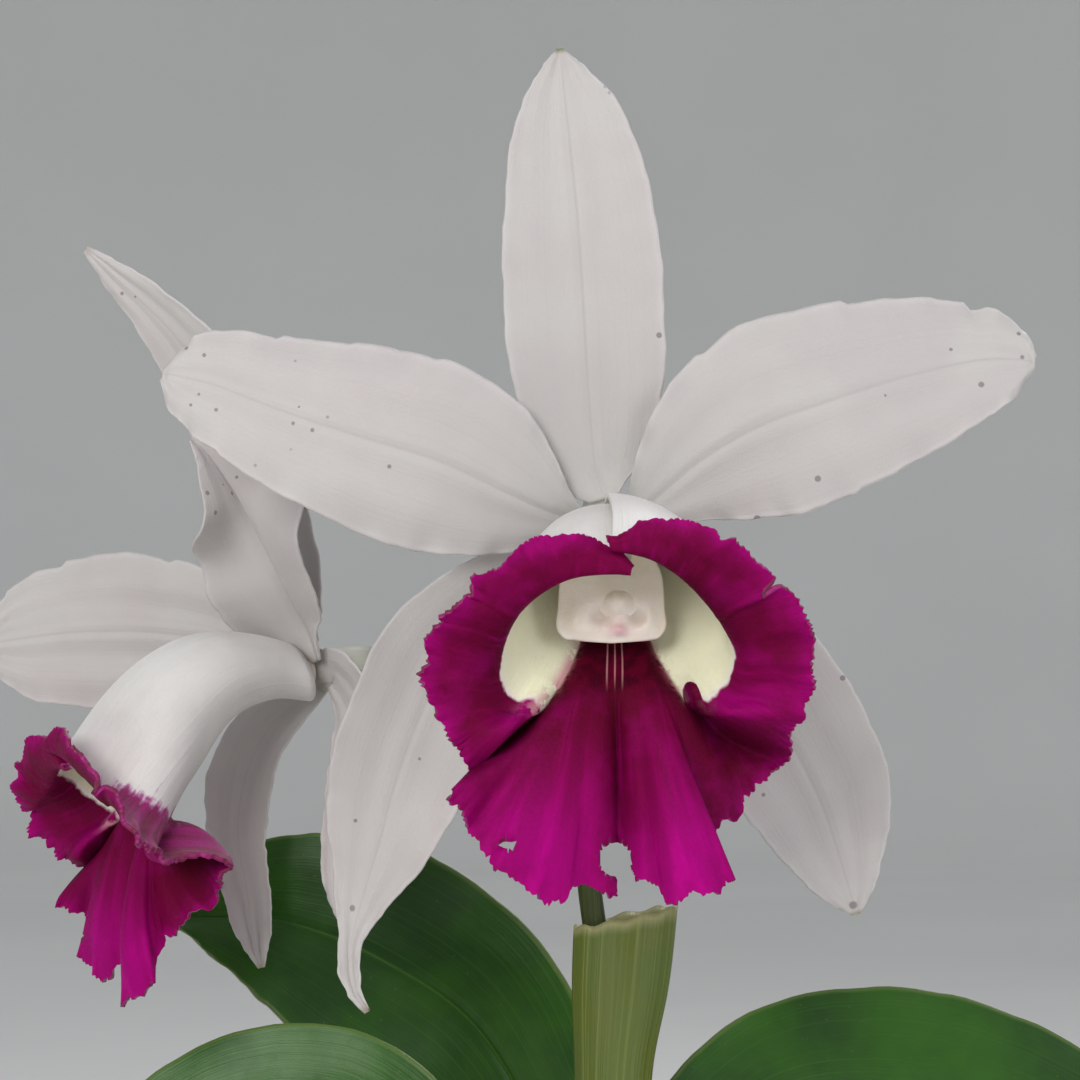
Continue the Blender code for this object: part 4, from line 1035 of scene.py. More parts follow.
def lip_outside_finish(name):
    """The lip's under face: a white tube, with magenta that bleeds in from the margin."""
    colours = bpy.context.scene.orchid_colours
    finish = Finish(name, TUBE_WHITE)
    wobble = finish.noise(300.0, 4.0)
    streaks = finish.streaks(80.0, 2.0)
    ragged = finish.maths("ADD", finish.value("limb"), finish.span(streaks, 0.3, 0.7, -0.14, 0.14))
    ragged = finish.maths("ADD", ragged, finish.span(wobble, 0.3, 0.7, -0.15, 0.15))
    pink = finish.mix(TUBE_PINK, TUBE_ROSE, wobble, 0.35, 0.65)
    magenta = finish.mix(colours.magenta, shade(colours.purple, 0.8), streaks, 0.4, 0.65)
    finish.paint(colours.tinge, finish.noise(60.0), 0.4, 0.7, 0.0, 0.4)
    finish.paint(TUBE_VEIN, streaks, 0.55, 0.75, 0.0, 0.18)
    finish.paint(pink, ragged, -0.12, 0.10)
    finish.paint(magenta, ragged, 0.0, 0.22)
    grain = finish.cells(3200.0)
    reliefs = [(grain, 0.00005, 0.5), (streaks, 0.0003, 0.6)]
    roughness = finish.span(grain, 0.0, 0.8, 0.38, 0.58)
    return finish.done(*reliefs, Roughness=roughness, Sheen_Weight=0.12, Sheen_Roughness=0.4)


def column_finish(name):
    """Waxy pale flesh, pink round the stigma, and greyer in its pits as painted shade."""
    finish = Finish(name, bpy.context.scene.orchid_colours.column)
    clouds = finish.noise(260.0)
    finish.paint(COLUMN_LIGHT, clouds, 0.38, 0.68)
    # Painted shade: greyer in the pits
    finish.paint(COLUMN_PIT_PAINTED_SHADE, finish.value("hollow"))
    finish.paint(COLUMN_BLUSH, finish.value("blush"))
    finish.paint(COLUMN_HEM, finish.value("hem"))
    grain = finish.cells(2600.0)
    reliefs = [(grain, 0.00006, 0.5), (clouds, 0.0003, 0.4)]
    return finish.done(*reliefs, Roughness=finish.span(grain, 0.0, 0.8, 0.32, 0.52), Coat_Weight=0.1)


def green_finish(name, colour, pale, dark, lines, gloss, tip=None, coat=0.0):
    """Plant skin with fine lengthwise lines: used for the stalk and the pseudobulbs."""
    finish = Finish(name, colour)
    streaks = finish.streaks(lines, 1.6, 4.0)
    clouds = finish.noise(48.0, 4.0, 0.6)
    finish.paint(dark, clouds, 0.36, 0.66)
    finish.paint(pale, streaks, 0.5, 0.74, 0.0, 0.6)
    finish.paint(pale, finish.cells(700.0), 0.05, 0.16, 0.35, 0.0)
    if tip:
        finish.paint(tip[2], finish.split(finish.surface(), "Y"), *tip[:2], 0.0, 0.9)
    reliefs = [(finish.noise(2600.0, 2.0), 0.00005, 0.5), (streaks, 0.0003, 0.55), (clouds, 0.0012, 0.3)]
    return finish.done(
        *reliefs,
        Roughness=finish.span(clouds, 0.3, 0.7, gloss - 0.06, gloss + 0.09),
        Coat_Weight=coat,
        Coat_Roughness=0.22,
        Specular_IOR_Level=0.25,
    )


def leaf_finish():
    """Waxy dark green, paler along its rib, edge and foot, with dust and a dry tip."""
    finish = Finish("waxy_leaf_green", bpy.context.scene.orchid_colours.leaf)
    surface = finish.surface()
    v = finish.split(surface, "Y")
    off = finish.gap(finish.split(surface, "X"), 0.5)
    streaks = finish.streaks(85.0, 2.0)
    clouds = finish.noise(34.0, 4.0, 0.62)
    finish.paint(LEAF_DARK, clouds, 0.36, 0.68)
    finish.paint(LEAF_STREAK, streaks, 0.52, 0.74, 0.0, 0.4)
    finish.paint(LEAF_RIB, off, 0.008, 0.03, 0.5, 0.0)
    finish.paint(LEAF_EDGE, off, 0.475, 0.499, 0.0, 0.7)
    finish.paint(LEAF_FOOT, v, 0.0, 0.22, 0.75, 0.0)
    finish.paint(LEAF_DRY_TIP, v, 0.965, 1.0, 0.0, 0.7)
    finish.paint(LEAF_FLECK, finish.cells(420.0), 0.03, 0.1, 0.5, 0.0)
    dust = finish.span(finish.noise(400.0, 5.0, 0.7), 0.5, 0.8, 0.0, 0.16)
    roughness = finish.maths("ADD", finish.span(clouds, 0.3, 0.7, 0.3, 0.42), dust)
    reliefs = [(finish.noise(2400.0, 2.0), 0.00004, 0.5), (streaks, 0.00018, 0.5), (clouds, 0.002, 0.3)]
    shine = {"Coat_Weight": 0.1, "Coat_Roughness": 0.3, "Specular_IOR_Level": 0.22}
    return finish.done(*reliefs, Roughness=roughness, **shine)


def sheath_finish():
    """Yellow-green skin with close lines, dry at its open end."""
    finish = Finish("sheath_skin", bpy.context.scene.orchid_colours.sheath)
    lines = finish.streaks(60.0, 1.2)
    clouds = finish.noise(90.0, 4.0)
    finish.paint(SHEATH_DARK, clouds, 0.36, 0.66)
    finish.paint(SHEATH_LINE, lines, 0.5, 0.72, 0.0, 0.5)
    finish.paint(SHEATH_DRY, finish.value("level"), 0.955, 1.0, 0.0, 0.75)
    return finish.done((lines, 0.0004, 0.6), Roughness=finish.span(clouds, 0.3, 0.7, 0.38, 0.52))


def husk_finish():
    """Dry papery husk with close fibres, darker towards its foot."""
    colour = bpy.context.scene.orchid_colours.husk
    finish = Finish("dry_husk", colour)
    fibres = finish.streaks(120.0, 2.5, 4.0, 0.65)
    finish.paint(shade(colour, 0.55), fibres, 0.4, 0.68)
    finish.paint(HUSK_PALE, finish.noise(120.0, 4.0, 0.6), 0.5, 0.72, 0.0, 0.7)
    finish.paint(HUSK_FOOT, finish.split(finish.surface(), "Y"), 0.0, 0.3, 0.7, 0.0)
    return finish.done((fibres, 0.0005, 0.9), Roughness=0.72, Sheen_Weight=0.15)


def root_finish():
    """Spongy silver root skin, with a fresh green tip."""
    finish = Finish("silver_root", bpy.context.scene.orchid_colours.root)
    v = finish.split(finish.surface(), "Y")
    clouds = finish.noise(260.0, 5.0, 0.65)
    finish.paint(ROOT_GREY, clouds, 0.4, 0.66)
    finish.paint(ROOT_TIP, v, 0.84, 0.93)
    finish.paint(ROOT_START, v, 0.0, 0.25, 0.6, 0.0)
    reliefs = [(finish.cells(1600.0), 0.0001, 0.8), (clouds, 0.0005, 0.5)]
    return finish.done(*reliefs, Roughness=finish.span(clouds, 0.3, 0.7, 0.7, 0.9))


def bark_finish(name, share):
    """Coarse conifer bark in flaky layers, with reddish inner wood and grey weathering."""
    colour = bpy.context.scene.orchid_colours.bark
    # share makes the colour lighter or darker: the chips take a lighter copy and the bed under them a
    # darker one, as painted shade
    finish = Finish(name, shade(colour, share))
    flaky = finish.stretched(finish.place, (1.0, 1.0, 2.6))
    layers = finish.noise(230.0, 6.0, 0.68, 0.6, flaky)
    finish.paint(shade(colour, 0.4), finish.noise(75.0), 0.34, 0.66)
    finish.paint(shade(BARK_RED, share), layers, 0.5, 0.7, 0.0, 0.8)
    finish.paint(shade(BARK_GREY, share), finish.noise(150.0, 5.0, 0.7), 0.56, 0.74, 0.0, 0.7)
    finish.paint(BARK_CRACK, finish.cells(300.0, "DISTANCE_TO_EDGE"), 0.0, 0.12, 0.7, 0.0)
    return finish.done((layers, 0.0012, 0.9), Roughness=finish.span(layers, 0.3, 0.7, 0.8, 0.95))


def clay_finish():
    """Unglazed fired clay with turning lines, pale mineral bloom, algae and a damp foot."""
    finish = Finish("fired_clay", bpy.context.scene.orchid_colours.clay)
    height = finish.split(finish.place, "Z")
    grit = finish.noise(900.0, 3.0, 0.7)
    finish.paint(CLAY_DARK, finish.noise(22.0, 5.0, 0.6), 0.36, 0.66)
    finish.paint(CLAY_GRIT, grit, 0.55, 0.75, 0.0, 0.5)
    bloom = finish.noise(46.0, 6.0, 0.7, 0.5, finish.stretched(finish.place, (1.0, 1.0, 0.45)))
    low = finish.span(height, 0.012, 0.07, 1.0, 0.25)
    finish.paint(CLAY_BLOOM, finish.product(finish.span(bloom, 0.50, 0.68, 0.0, 0.75), low))
    shoulder = finish.span(height, 0.055, 0.079, 0.0, 0.6)
    shoulder = finish.product(shoulder, finish.span(height, 0.079, 0.084, 1.0, 0.0))
    algae = finish.span(finish.noise(60.0, 5.0, 0.65), 0.52, 0.68)
    finish.paint(CLAY_ALGAE, finish.product(algae, shoulder))
    finish.paint(CLAY_DAMP, height, 0.0, 0.011, 0.55, 0.0)
    lines = finish.noise(900.0, 3.0, 0.6, vector=finish.stretched(finish.place, (0.02, 0.02, 1.0)))
    reliefs = [(lines, 0.0004, 0.5), (grit, 0.0003, 0.7)]
    return finish.done(*reliefs, Roughness=finish.span(grit, 0.3, 0.7, 0.76, 0.95))


def floor_finish():
    """Pale matt floor with faint clouds."""
    colour = bpy.context.scene.orchid_stage.floor
    finish = Finish("studio_floor", colour)
    finish.paint(shade(colour, 0.94), finish.noise(3.0, 2.0), 0.35, 0.65, 0.0, 0.5)
    return finish.done((finish.noise(600.0, 0.0), 0.0001, 0.3), Roughness=0.75)


def nicked(t, side, nicks):
    """How much small tears take off a blade's half-width."""
    taken = np.zeros_like(t)
    for where, edge, depth, length in nicks:
        share = (t - where) / length
        inside = (share > 0.0) & (share < 1.0) & (side * edge > 0.0)
        taken += np.where(inside, depth * (1.0 - share), 0.0)
    return taken


def blade_points(rows, faces, form, seed, u, v):
    """Points of a blade: u runs across it and v from its root to its tip."""
    t = 1.0 - (1.0 - v) ** TIP_CROWDING
    middle, across, up = frames(rows, t, faces)
    widths = along(rows, t)
    side = 2.0 * u - 1.0
    half = np.where(u < 0.5, widths[:, 3], widths[:, 4])
    body = plateau(t, 0.02, 0.2, 0.9, 1.0)
    for number, (waves, height) in enumerate(EDGE_WAVES):
        phase = seed * 1.7 + number + np.where(side > 0.0, 2.1, 0.0)
        half = half + body * height * np.sin(TURN * waves * t + phase)
    half = np.maximum(half - nicked(t, side, form.get("nicks", ())), LEAST_HALF_WIDTH)
    cup = form.get("cup", 0.0) + form.get("roll", 0.0) * step(t, 0.72, 0.92)
    rise = cup * half * side * side + form.get("fold", 0.0) * half * np.abs(side)
    rise += form["ripple"] * side * side * np.sin(math.pi * 5.0 * t + 2.0 * side)
    crimped = form["ripple"] * np.abs(side) ** 5 * body
    rise += 0.6 * crimped * np.sin(TURN * 7.0 * t + seed + 3.0 * side)
    rise += 0.35 * crimped * np.sin(TURN * 15.0 * t + 2.0 * seed - side)
    rise += form["pleat"] * np.cos(side * math.pi * 3.0) * (1.0 - side * side) * body
    rib = hump(side * half, 0.0, form.get("keel_width", 0.7))
    rise -= form["keel"] * rib * (1.0 - 0.75 * t) * step(t, 0.0, 0.1)
    if "bend" in form:
        where, start, slope = form["bend"]
        window = plateau(t, start, start + 0.15, 0.8, 0.9)
        rise += slope * half * np.maximum(where - side, 0.0) * window
    flesh = (1.0 - np.abs(side) ** form.get("flesh_power", 3)) * (1.0 - step(t, 0.93, 1.0))
    points = middle + across * (half * side)[:, None] + up * rise[:, None]
    return points, {"flesh": np.clip(flesh, 0.0, 1.0)}


def flower_axes(turn):
    """A flower's right, up and forward directions, with its face turned and pitched down."""
    right = np.array([math.cos(turn), math.sin(turn), 0.0])
    level = np.array([math.sin(turn), -math.cos(turn), 0.0])
    up = np.array([0.0, 0.0, 1.0])
    forward = level * math.cos(FLOWER_PITCH) - up * math.sin(FLOWER_PITCH)
    return right, np.cross(forward, right), forward


def root_row(bloom, turn, angle, layer, half):
    """The first row of a blade, beside the end of the flower's stalk."""
    right, up, forward = flower_axes(turn)
    angle = math.radians(angle)
    spoke = right * math.cos(angle) + up * math.sin(angle)
    return (*(bloom + spoke * BASE_RADIUS + forward * layer), half, half)


def tepal(name, blade, bloom, turn, number):
    """One sepal or petal, with its own specks."""
    petal = "petal" in name
    half = PETAL_ROOT_HALF if petal else SEPAL_ROOT_HALF
    rows = [root_row(bloom, turn, *blade["root"], half)]
    rows += [(*seen(bloom, *row[:3]), row[3], row[4]) for row in blade["rows"]]
    seed = 2.3 * number + 0.9 * len(name)
    kept = {}

    def place(u, v):
        points, values = blade_points(rows, blade["faces"], blade["form"], seed, u, v)
        kept["points"] = points
        return points, values

    bm = skin(BLADE_ACROSS, BLADE_ALONG, place)
    right, up = sight(bloom, kept["points"])
    specks = []
    for x, z, radius in blade["specks"]:
        nearest = np.argmin((right - x) ** 2 + (up - z) ** 2)
        specks.append((tuple(kept["points"][nearest] * MM), 0.75 * radius * MM))
    finish = petal_finish(f"white_{name}_{number}", specks, blade["tip"])
    obj = piece(added(f"fine_{name}_{number}", bm, [finish]), [f"{name}_{number}"])
    thicken(obj, bpy.context.scene.orchid_sizes.petal_thickness, 0.35)


def lip_angles(row):
    """The angle round the throat of places on its rim. It grows past a full turn."""
    mouth = np.array(LIP_MOUTH)
    x = (mouth[:, 0] - THROAT_MIDDLE[0]) / THROAT_HALF[0]
    z = (mouth[:, 1] - THROAT_MIDDLE[1]) / THROAT_HALF[1]
    angles = np.unwrap(np.arctan2(z, x))
    return along(angles[:, None], row / (len(mouth) - 1))[:, 0]


def margin_at(row):
    """Where the lip's margin is seen at a row of the mouth, its corners a little rounded."""
    table = np.array(LIP_MARGIN)
    right, up = 0.0, 0.0
    for shift in (-0.025, 0.0, 0.025):
        right = right + np.interp(row + shift, table[:, 0], table[:, 1]) / 3.0
        up = up + np.interp(row + shift, table[:, 0], table[:, 2]) / 3.0
    return right, up


def margin_length(row):
    """How far along the margin a row is, in millimetres."""
    table = np.array(LIP_MARGIN)
    runs = np.hypot(np.diff(table[:, 1]), np.diff(table[:, 2]))
    return np.interp(row, table[:, 0], np.concatenate([[0.0], np.cumsum(runs)]))


def patches(table, row, reach):
    """The sum of soft patches laid out by row and by share of the way to the margin."""
    total = np.zeros_like(row)
    for place, slant, share, spread, length, height in table:
        total += height * hump(row, place + slant * reach, spread) * hump(reach, share, length)
    return total


def lip_points(u, v):
    """Points of the front bloom's lip: u runs round it and v from its root to its margin."""
    row = u * (len(LIP_MOUTH) - 1)
    w = LIP_SPANS * (1.0 - (1.0 - v) ** LIP_CROWDING)
    fold_x, fold_z, lift = along(LIP_MOUTH, u).T
    edge_x, edge_z = margin_at(row)
    depth = THROAT_DEPTH + THROAT_SLOPE * (fold_z - THROAT_MIDDLE[1])
    fold = seen(FRONT_BLOOM, fold_x, fold_z, depth) - FRONT_BLOOM
    edge = seen(FRONT_BLOOM, edge_x, edge_z, depth + lift) - FRONT_BLOOM
    angle = lip_angles(row)
    stations = []
    roll = LIP_OVERLAP * (2.0 * u - 1.0)
    for x, z, forward, half_x, half_z, lean in LIP_RINGS:
        side = (half_x + roll) * np.cos(angle)
        rise = (half_z + roll) * np.sin(angle)
        stations.append(np.stack([x + side, -forward - lean * rise, z + rise], axis=-1))
    band = 0.5 * (fold + edge) + np.array([0.0, -LIP_BAND_PUSH, 0.0])
    points = through([*stations, fold, band, edge], w)

    reach = np.clip((w - LIP_RIM) / (LIP_SPANS - LIP_RIM), 0.0, 1.0)
    taper = np.clip(np.sin(math.pi * u), 0.0, 1.0) ** 0.5
    for waves, height, hug, phase in LIP_RUFFLES:
        swing = np.sin(TURN * waves * u + phase + 0.8 * np.sin(TURN * 5.0 * u))
        points[:, 1] += height * taper * reach**hug * swing
    points[:, 1] -= patches(LIP_FOLDS, row, reach) * step(w, 3.3, 4.6)

    travel = margin_length(row)
    small, large = (
        np.abs((travel / length + vary * np.sin(slow * travel)) % 1.0 - 0.5) * 2.0
        for length, vary, slow in TEETH
    )
    tooth = small * (0.35 + 0.65 * np.sin(0.31 * travel) ** 2) + 0.8 * large
    tooth = tooth * bpy.context.scene.orchid_sizes.tooth_depth / MM
    outward = unit(edge - fold)
    points += outward * ((tooth - 0.5) * taper * reach**8)[:, None]

    off = np.degrees(angle) + 90.0
    off = np.abs(off - 360.0 * np.round(off / 360.0))
    half_angle = np.interp(w, np.arange(len(FLOOR_HALF_ANGLES)), FLOOR_HALF_ANGLES)
    floor = 1.0 - step(off / half_angle, 0.86, 1.06)
    window = plateau(w, 1.0, 2.5, 4.0, 5.0)
    raised = FLOOR_RISE * (1.0 - step(off / half_angle, 0.55, 1.0))
    crease = hump(off, half_angle, 3.5)
    points[:, 2] += window * (raised - 0.5 * crease)
    curl = hump(row, CURL_ROW, 0.42) * hump(w, 3.86, 0.17)
    points[:, 1] -= 2.4 * curl
    points[:, 2] += 1.0 * curl

    values = {"limb": w - LIP_RIM + 0.7 * curl + 0.12 * hump(row, 9.2, 0.6)}
    values["floor"] = floor * (1.0 - step(w, 4.1, 4.6))
    values["crease"] = crease * plateau(w, 2.7, 3.2, 4.0, 4.2) * (1.0 - hump(row, CURL_ROW, 0.8))
    values["frill"] = reach**10
    for name, table in LIP_PATCHES.items():
        values[name] = np.clip(patches(table, row, reach), 0.0, 1.0)
    return points, values


def settled(points, bloom, turn):
    """Puts points of a flower in their place: turned, and the side bloom's lip and column arched."""
    points = np.array(points)
    if turn:
        reach = np.clip(-points[:, 1], 0.0, SIDE_ARCH_END)
        points[:, 2] *= SIDE_SQUASH
        for power, factor in enumerate(SIDE_ARCH, 1):
            points[:, 2] += factor * reach**power
    return bloom + turned(points, turn)


def opened(bm):
    """Cuts the lip's gaps out of it and brings their edges onto the gaps' outlines."""
    middles = np.array([gap[:2] for gap in LIP_GAPS])
    halves = np.array([gap[2:] for gap in LIP_GAPS])
    spots = np.array([vert.co[:] for vert in bm.verts]) / MM
    face_on = np.stack(sight(FRONT_BLOOM, spots + FRONT_BLOOM), axis=-1)
    level = np.linalg.norm((face_on[:, None] - middles) / halves, axis=2)
    limb = bm.verts.layers.float["limb"]
    numbers = {vert: number for number, vert in enumerate(bm.verts)}
    gone = [vert for vert, number in numbers.items() if level[number].min() < 1.0 and vert[limb] > -0.5]
    torn = {edge.other_vert(vert) for vert in gone for edge in vert.link_edges} - set(gone)
    for vert in torn:
        number = numbers[vert]
        gap = int(level[number].argmin())
        pull = (1.0 - 1.0 / level[number, gap]) * (face_on[number] - middles[gap])
        vert.co.x -= pull[0] * MM
        vert.co.z -= pull[1] * MM
    bmesh.ops.delete(bm, geom=gone, context="VERTS")


def faced_out(bm):
    """Turns the lip's faces so that its tube faces outwards."""
    limb = bm.verts.layers.float["limb"]
    outward = 0.0
    for face in bm.faces:
        if face.verts[0][limb] < TUBE_LIMB:
            spot = face.calc_center_median()
            outward += face.normal.dot(Vector((spot.x, 0.0, spot.z + TUBE_DROP * MM)))
    if outward < 0.0:
        bmesh.ops.reverse_faces(bm, faces=bm.faces)


def lip(bloom, turn, number):
    """One lip, made in the front bloom's place and then put in its own."""
    bm = skin(LIP_ROUND, LIP_LONG, lip_points)
    opened(bm)
    faced_out(bm)
    spots = settled([vert.co / MM for vert in bm.verts], bloom, turn)
    for vert, spot in zip(bm.verts, spots):
        vert.co = Vector(spot) * MM
    inside = lip_inside_finish(f"lip_magenta_inside_{number}")
    outside = lip_outside_finish(f"lip_white_outside_{number}")
    obj = piece(added(f"fine_lip_{number}", bm, [outside, inside]), [f"lip_{number}"])
    thicken(obj, bpy.context.scene.orchid_sizes.lip_thickness, outside=1)


def ring_points(ring, t, angle, size):
    """Points round a body: ring(t) gives its middles and two half-axes, and size is their factor."""
    middle, across, up = ring(t)
    return middle + (across * np.cos(angle)[:, None] + up * np.sin(angle)[:, None]) * size[:, None]


def at_end(v):
    """1 at both ends of a body, where it closes to a point, and 0 between them."""
    return ((v < 1e-6) | (v > 1.0 - 1e-6)).astype(float)


def tube_place(steps, ring, relief):
    """A place function for a closed round body, whose relief is a factor of its radius."""

    def place(u, v):
        t = np.clip((v * (steps + 2) - 1.0) / steps, 0.0, 1.0)
        angle = TURN * u
        return ring_points(ring, t, angle, (1.0 - at_end(v)) * relief(angle, t)), {}

    return place


def swept(rows, upright):
    """A ring function for a round tube along the rows, whose fourth value is the radius."""

    def ring(t):
        middle, across, up = frames(rows, t, [upright, upright])
        radius = along(rows, t)[:, 3:4]
        return middle, across * radius, -up * radius

    return ring


def column(bloom, turn, number):
    """The column: a club that ends in a winged shield with the stigma under its cap."""
    body_share = 0.72

    def place(u, v):
        angle = TURN * u
        t = np.clip(v / body_share, 0.0, 1.0)
        face = np.clip((v - body_share) / (1.0 - body_share), 0.0, 1.0)
        forward = COLUMN_START + (COLUMN_LENGTH - COLUMN_START) * t
        drop = COLUMN_ROOT_DROP + COLUMN_DROP * t**1.9
        wide = COLUMN_ROOT + COLUMN_FLARE[0] * t**1.8
        tall = COLUMN_ROOT + COLUMN_FLARE[1] * t**2.2
        close = (1.0 - face) * step(v, 0.0, 0.015)
        power = 1.0 - 0.42 * t**3
        x = np.sign(np.cos(angle)) * np.abs(np.cos(angle)) ** power * close
        z = np.sign(np.sin(angle)) * np.abs(np.sin(angle)) ** power * close
        wings = 1.0 + 0.07 * t**4 * hump(z, -0.55, 0.4) * close
        right = wide * x * wings
        up = tall * z * (1.0 + 0.5 * t**3 * step(z, 0.0, 0.6))
        low = tall * (-0.90 + 0.10 * np.abs(x))
        up = np.where((up < low) & (t > 0.9), low, up)
        out = 0.8 * np.sin(0.5 * math.pi * face)
        seat, beak, left_pit, right_pit, left_flap, right_flap, flush = (
            hump(right, x, wide) * hump(up, z, tall) for x, wide, z, tall in COLUMN_PATCHES
        )
        inner = step(face, 0.0, 0.35)
        flaps = left_flap + right_flap
        out += inner * (0.5 * seat + 0.9 * beak - 1.1 * left_pit - 1.1 * right_pit + 0.7 * flaps)
        spot = np.stack([COLUMN_SHIFT * t + right, -forward - out, -drop + up], axis=-1)
        blush = inner * (0.8 * beak + 0.35 * flush)
        corners = hump(right, -4.6, 0.7) + hump(right, 5.8, 0.7)
        hem = step(t, 0.9, 1.0) * hump(up, low, 0.22) * step(close, 0.8, 0.95)
        hem = hem * np.clip(0.5 + corners, 0.0, 1.0)
        # Painted shade in the two pits
        hollow = inner * np.clip(0.7 * left_pit + 0.7 * right_pit, 0.0, 1.0)
        return settled(spot, bloom, turn), {"hollow": hollow, "blush": blush, "hem": 0.8 * hem}

    finish = column_finish(f"column_wax_{number}")
    obj = added(f"fine_column_{number}", skin(*COLUMN_GRID, place), [finish])
    piece(obj, [f"column_{number}"])


def anther_cap(bloom, turn, number):
    """The small two-lobed cap on the column's end."""
    back = -COLUMN_LENGTH - SEAM
    flat = 0.12

    def place(u, v):
        angle = TURN * u
        swing = np.clip((v - flat) / (1.0 - flat), 0.0, 1.0) * math.pi / 2.0
        reach = np.where(v < flat, v / flat, np.cos(swing))
        out = np.where(v < flat, 0.0, np.sin(swing) ** 3)
        x = CAP_HALF[0] * reach * np.cos(angle)
        z = CAP_HALF[1] * reach * np.sin(angle)
        groove = 0.12 * hump(x, 0.0, 0.3) * out
        beak = 0.3 * hump(x, 0.0, 0.8) * hump(z, -1.7, 0.7)
        y = back - 0.1 - CAP_HEIGHT * out + groove - beak
        spot = np.stack([CAP_MIDDLE[0] + x, y, CAP_MIDDLE[1] + z], axis=-1)
        none = np.zeros_like(x)
        return settled(spot, bloom, turn), {"hollow": none, "blush": none, "hem": none}

    finish = column_finish(f"cap_wax_{number}")
    obj = added(f"fine_anther_cap_{number}", skin(*CAP_GRID, place), [finish])
    piece(obj, [f"anther_cap_{number}"])


def growth_rows(name):
    """The path of one growth, from its creeping stem to the top of its pseudobulb."""
    start, foot, top, greatest = GROWTHS[name]
    low = BARK_TOP + CREEP_RADIUS + CREEP_LIFT
    bend = np.array(start) * (1.0 - CREEP_TURN) + np.array(foot) * CREEP_TURN
    rows = [
        (*start, low, CREEP_RADIUS), (*bend, low + 0.8, CREEP_RADIUS + 0.3),
        (*foot, low + BULB_FOOT_LIFT, CREEP_RADIUS + 0.8),
    ]
    bottom = np.array([*foot, low + BULB_FOOT_LIFT])
    for share, swell in BULB_SWELL:
        rows.append((*(bottom + (np.array(top) - bottom) * share), greatest * swell))
    rows.append((*top, BULB_NECK))
    upright = unit(np.array([foot[0] - start[0], foot[1] - start[1], -1.0]))
    return rows, upright


def pot_outer(z):
    """The outside radius of the pot's body at a height."""
    return POT_BASE_RADIUS + (POT_BODY_RADIUS - POT_BASE_RADIUS) * z / POT_HEIGHT


def spun(profile, steps):
    """A closed body turned from a profile of radius and height."""
    bm = bmesh.new()
    verts = [bm.verts.new((radius * MM, 0.0, z * MM)) for radius, z in profile]
    edges = [bm.edges.new(pair) for pair in zip(verts, verts[1:])]
    path = verts + edges
    bmesh.ops.spin(bm, geom=path, cent=(0, 0, 0), axis=(0, 0, 1), angle=TURN, steps=steps, use_merge=True)
    bmesh.ops.remove_doubles(bm, verts=bm.verts, dist=WELD)
    bmesh.ops.recalc_face_normals(bm, faces=bm.faces)
    return bm


def corner(middle_radius, middle_z, radius, start, end, steps=5):
    """Points of a rounded corner, from one angle to another in degrees."""
    angles = np.radians(np.linspace(start, end, steps))
    return [(middle_radius + radius * math.cos(a), middle_z + radius * math.sin(a)) for a in angles]


def near_growth(x, y):
    """How far a place on the bark is from the nearest creeping stem or root."""
    routes = [(start, foot) for start, foot, top, greatest in GROWTHS.values()]
    for path in ROOT_PATHS.values():
        routes += list(zip(path, path[1:]))
    nearest = math.inf
    for first, second in routes:
        first, second = np.array(first), np.array(second)
        run = second - first
        share = np.dot(np.array([x, y]) - first, run) / np.dot(run, run)
        nearest = min(nearest, math.dist((x, y), first + run * min(max(share, 0.0), 1.0)))
    return nearest


class ORCHID_OT_stage(bpy.types.Operator):
    """Makes the pale floor, the soft lights and the camera"""

    bl_idname = "orchid.stage"
    bl_label = "Stage"

    def light(self, name, place, size, colour, power):
        """Adds a round soft light that points at the blooms."""
        data = bpy.data.lights.new(name, "AREA")
        data.shape = "DISK"
        data.size = size
        data.energy = power
        data.color = colour
        lamp = bpy.data.objects.new(name, data)
        lamp.location = place
        lamp.rotation_euler = (Vector(LIGHT_AIM) - Vector(place)).to_track_quat("-Z", "Y").to_euler()
        bpy.context.scene.collection.objects.link(lamp)

    def execute(self, context):
        stage = context.scene.orchid_stage
        radius = stage.floor_radius / MM
        profile = [(0.0, 0.0), (radius, 0.0), *corner(radius, WALL_RADIUS, WALL_RADIUS, -80.0, 0.0, 9)]
        profile.append((radius + WALL_RADIUS, WALL_TOP))
        bm = spun(profile, 96)
        bmesh.ops.reverse_faces(bm, faces=bm.faces)
        floor = added("studio_floor", bm, [floor_finish()])

        for name, settings in LIGHTS.items():
            self.light(name, *settings, getattr(stage, f"{name}_power"))
        world = bpy.data.worlds.new("studio_air")
        world.use_nodes = True
        air = world.node_tree.nodes["Background"]
        air.inputs["Color"].default_value = AIR_COLOUR
        air.inputs["Strength"].default_value = AIR_STRENGTH
        context.scene.world = world
        context.scene.view_settings.view_transform = "Standard"

        data = bpy.data.cameras.new("photo_view")
        data.lens = CAMERA_LENS
        data.sensor_width = CAMERA_SENSOR
        data.clip_start = CAMERA_NEAR
        camera = bpy.data.objects.new("photo_view", data)
        camera.location = Vector(EYE) * MM
        camera.rotation_euler = (math.radians(90.0), 0.0, 0.0)
        context.scene.collection.objects.link(camera)
        context.scene.camera = camera
        return {"FINISHED"}


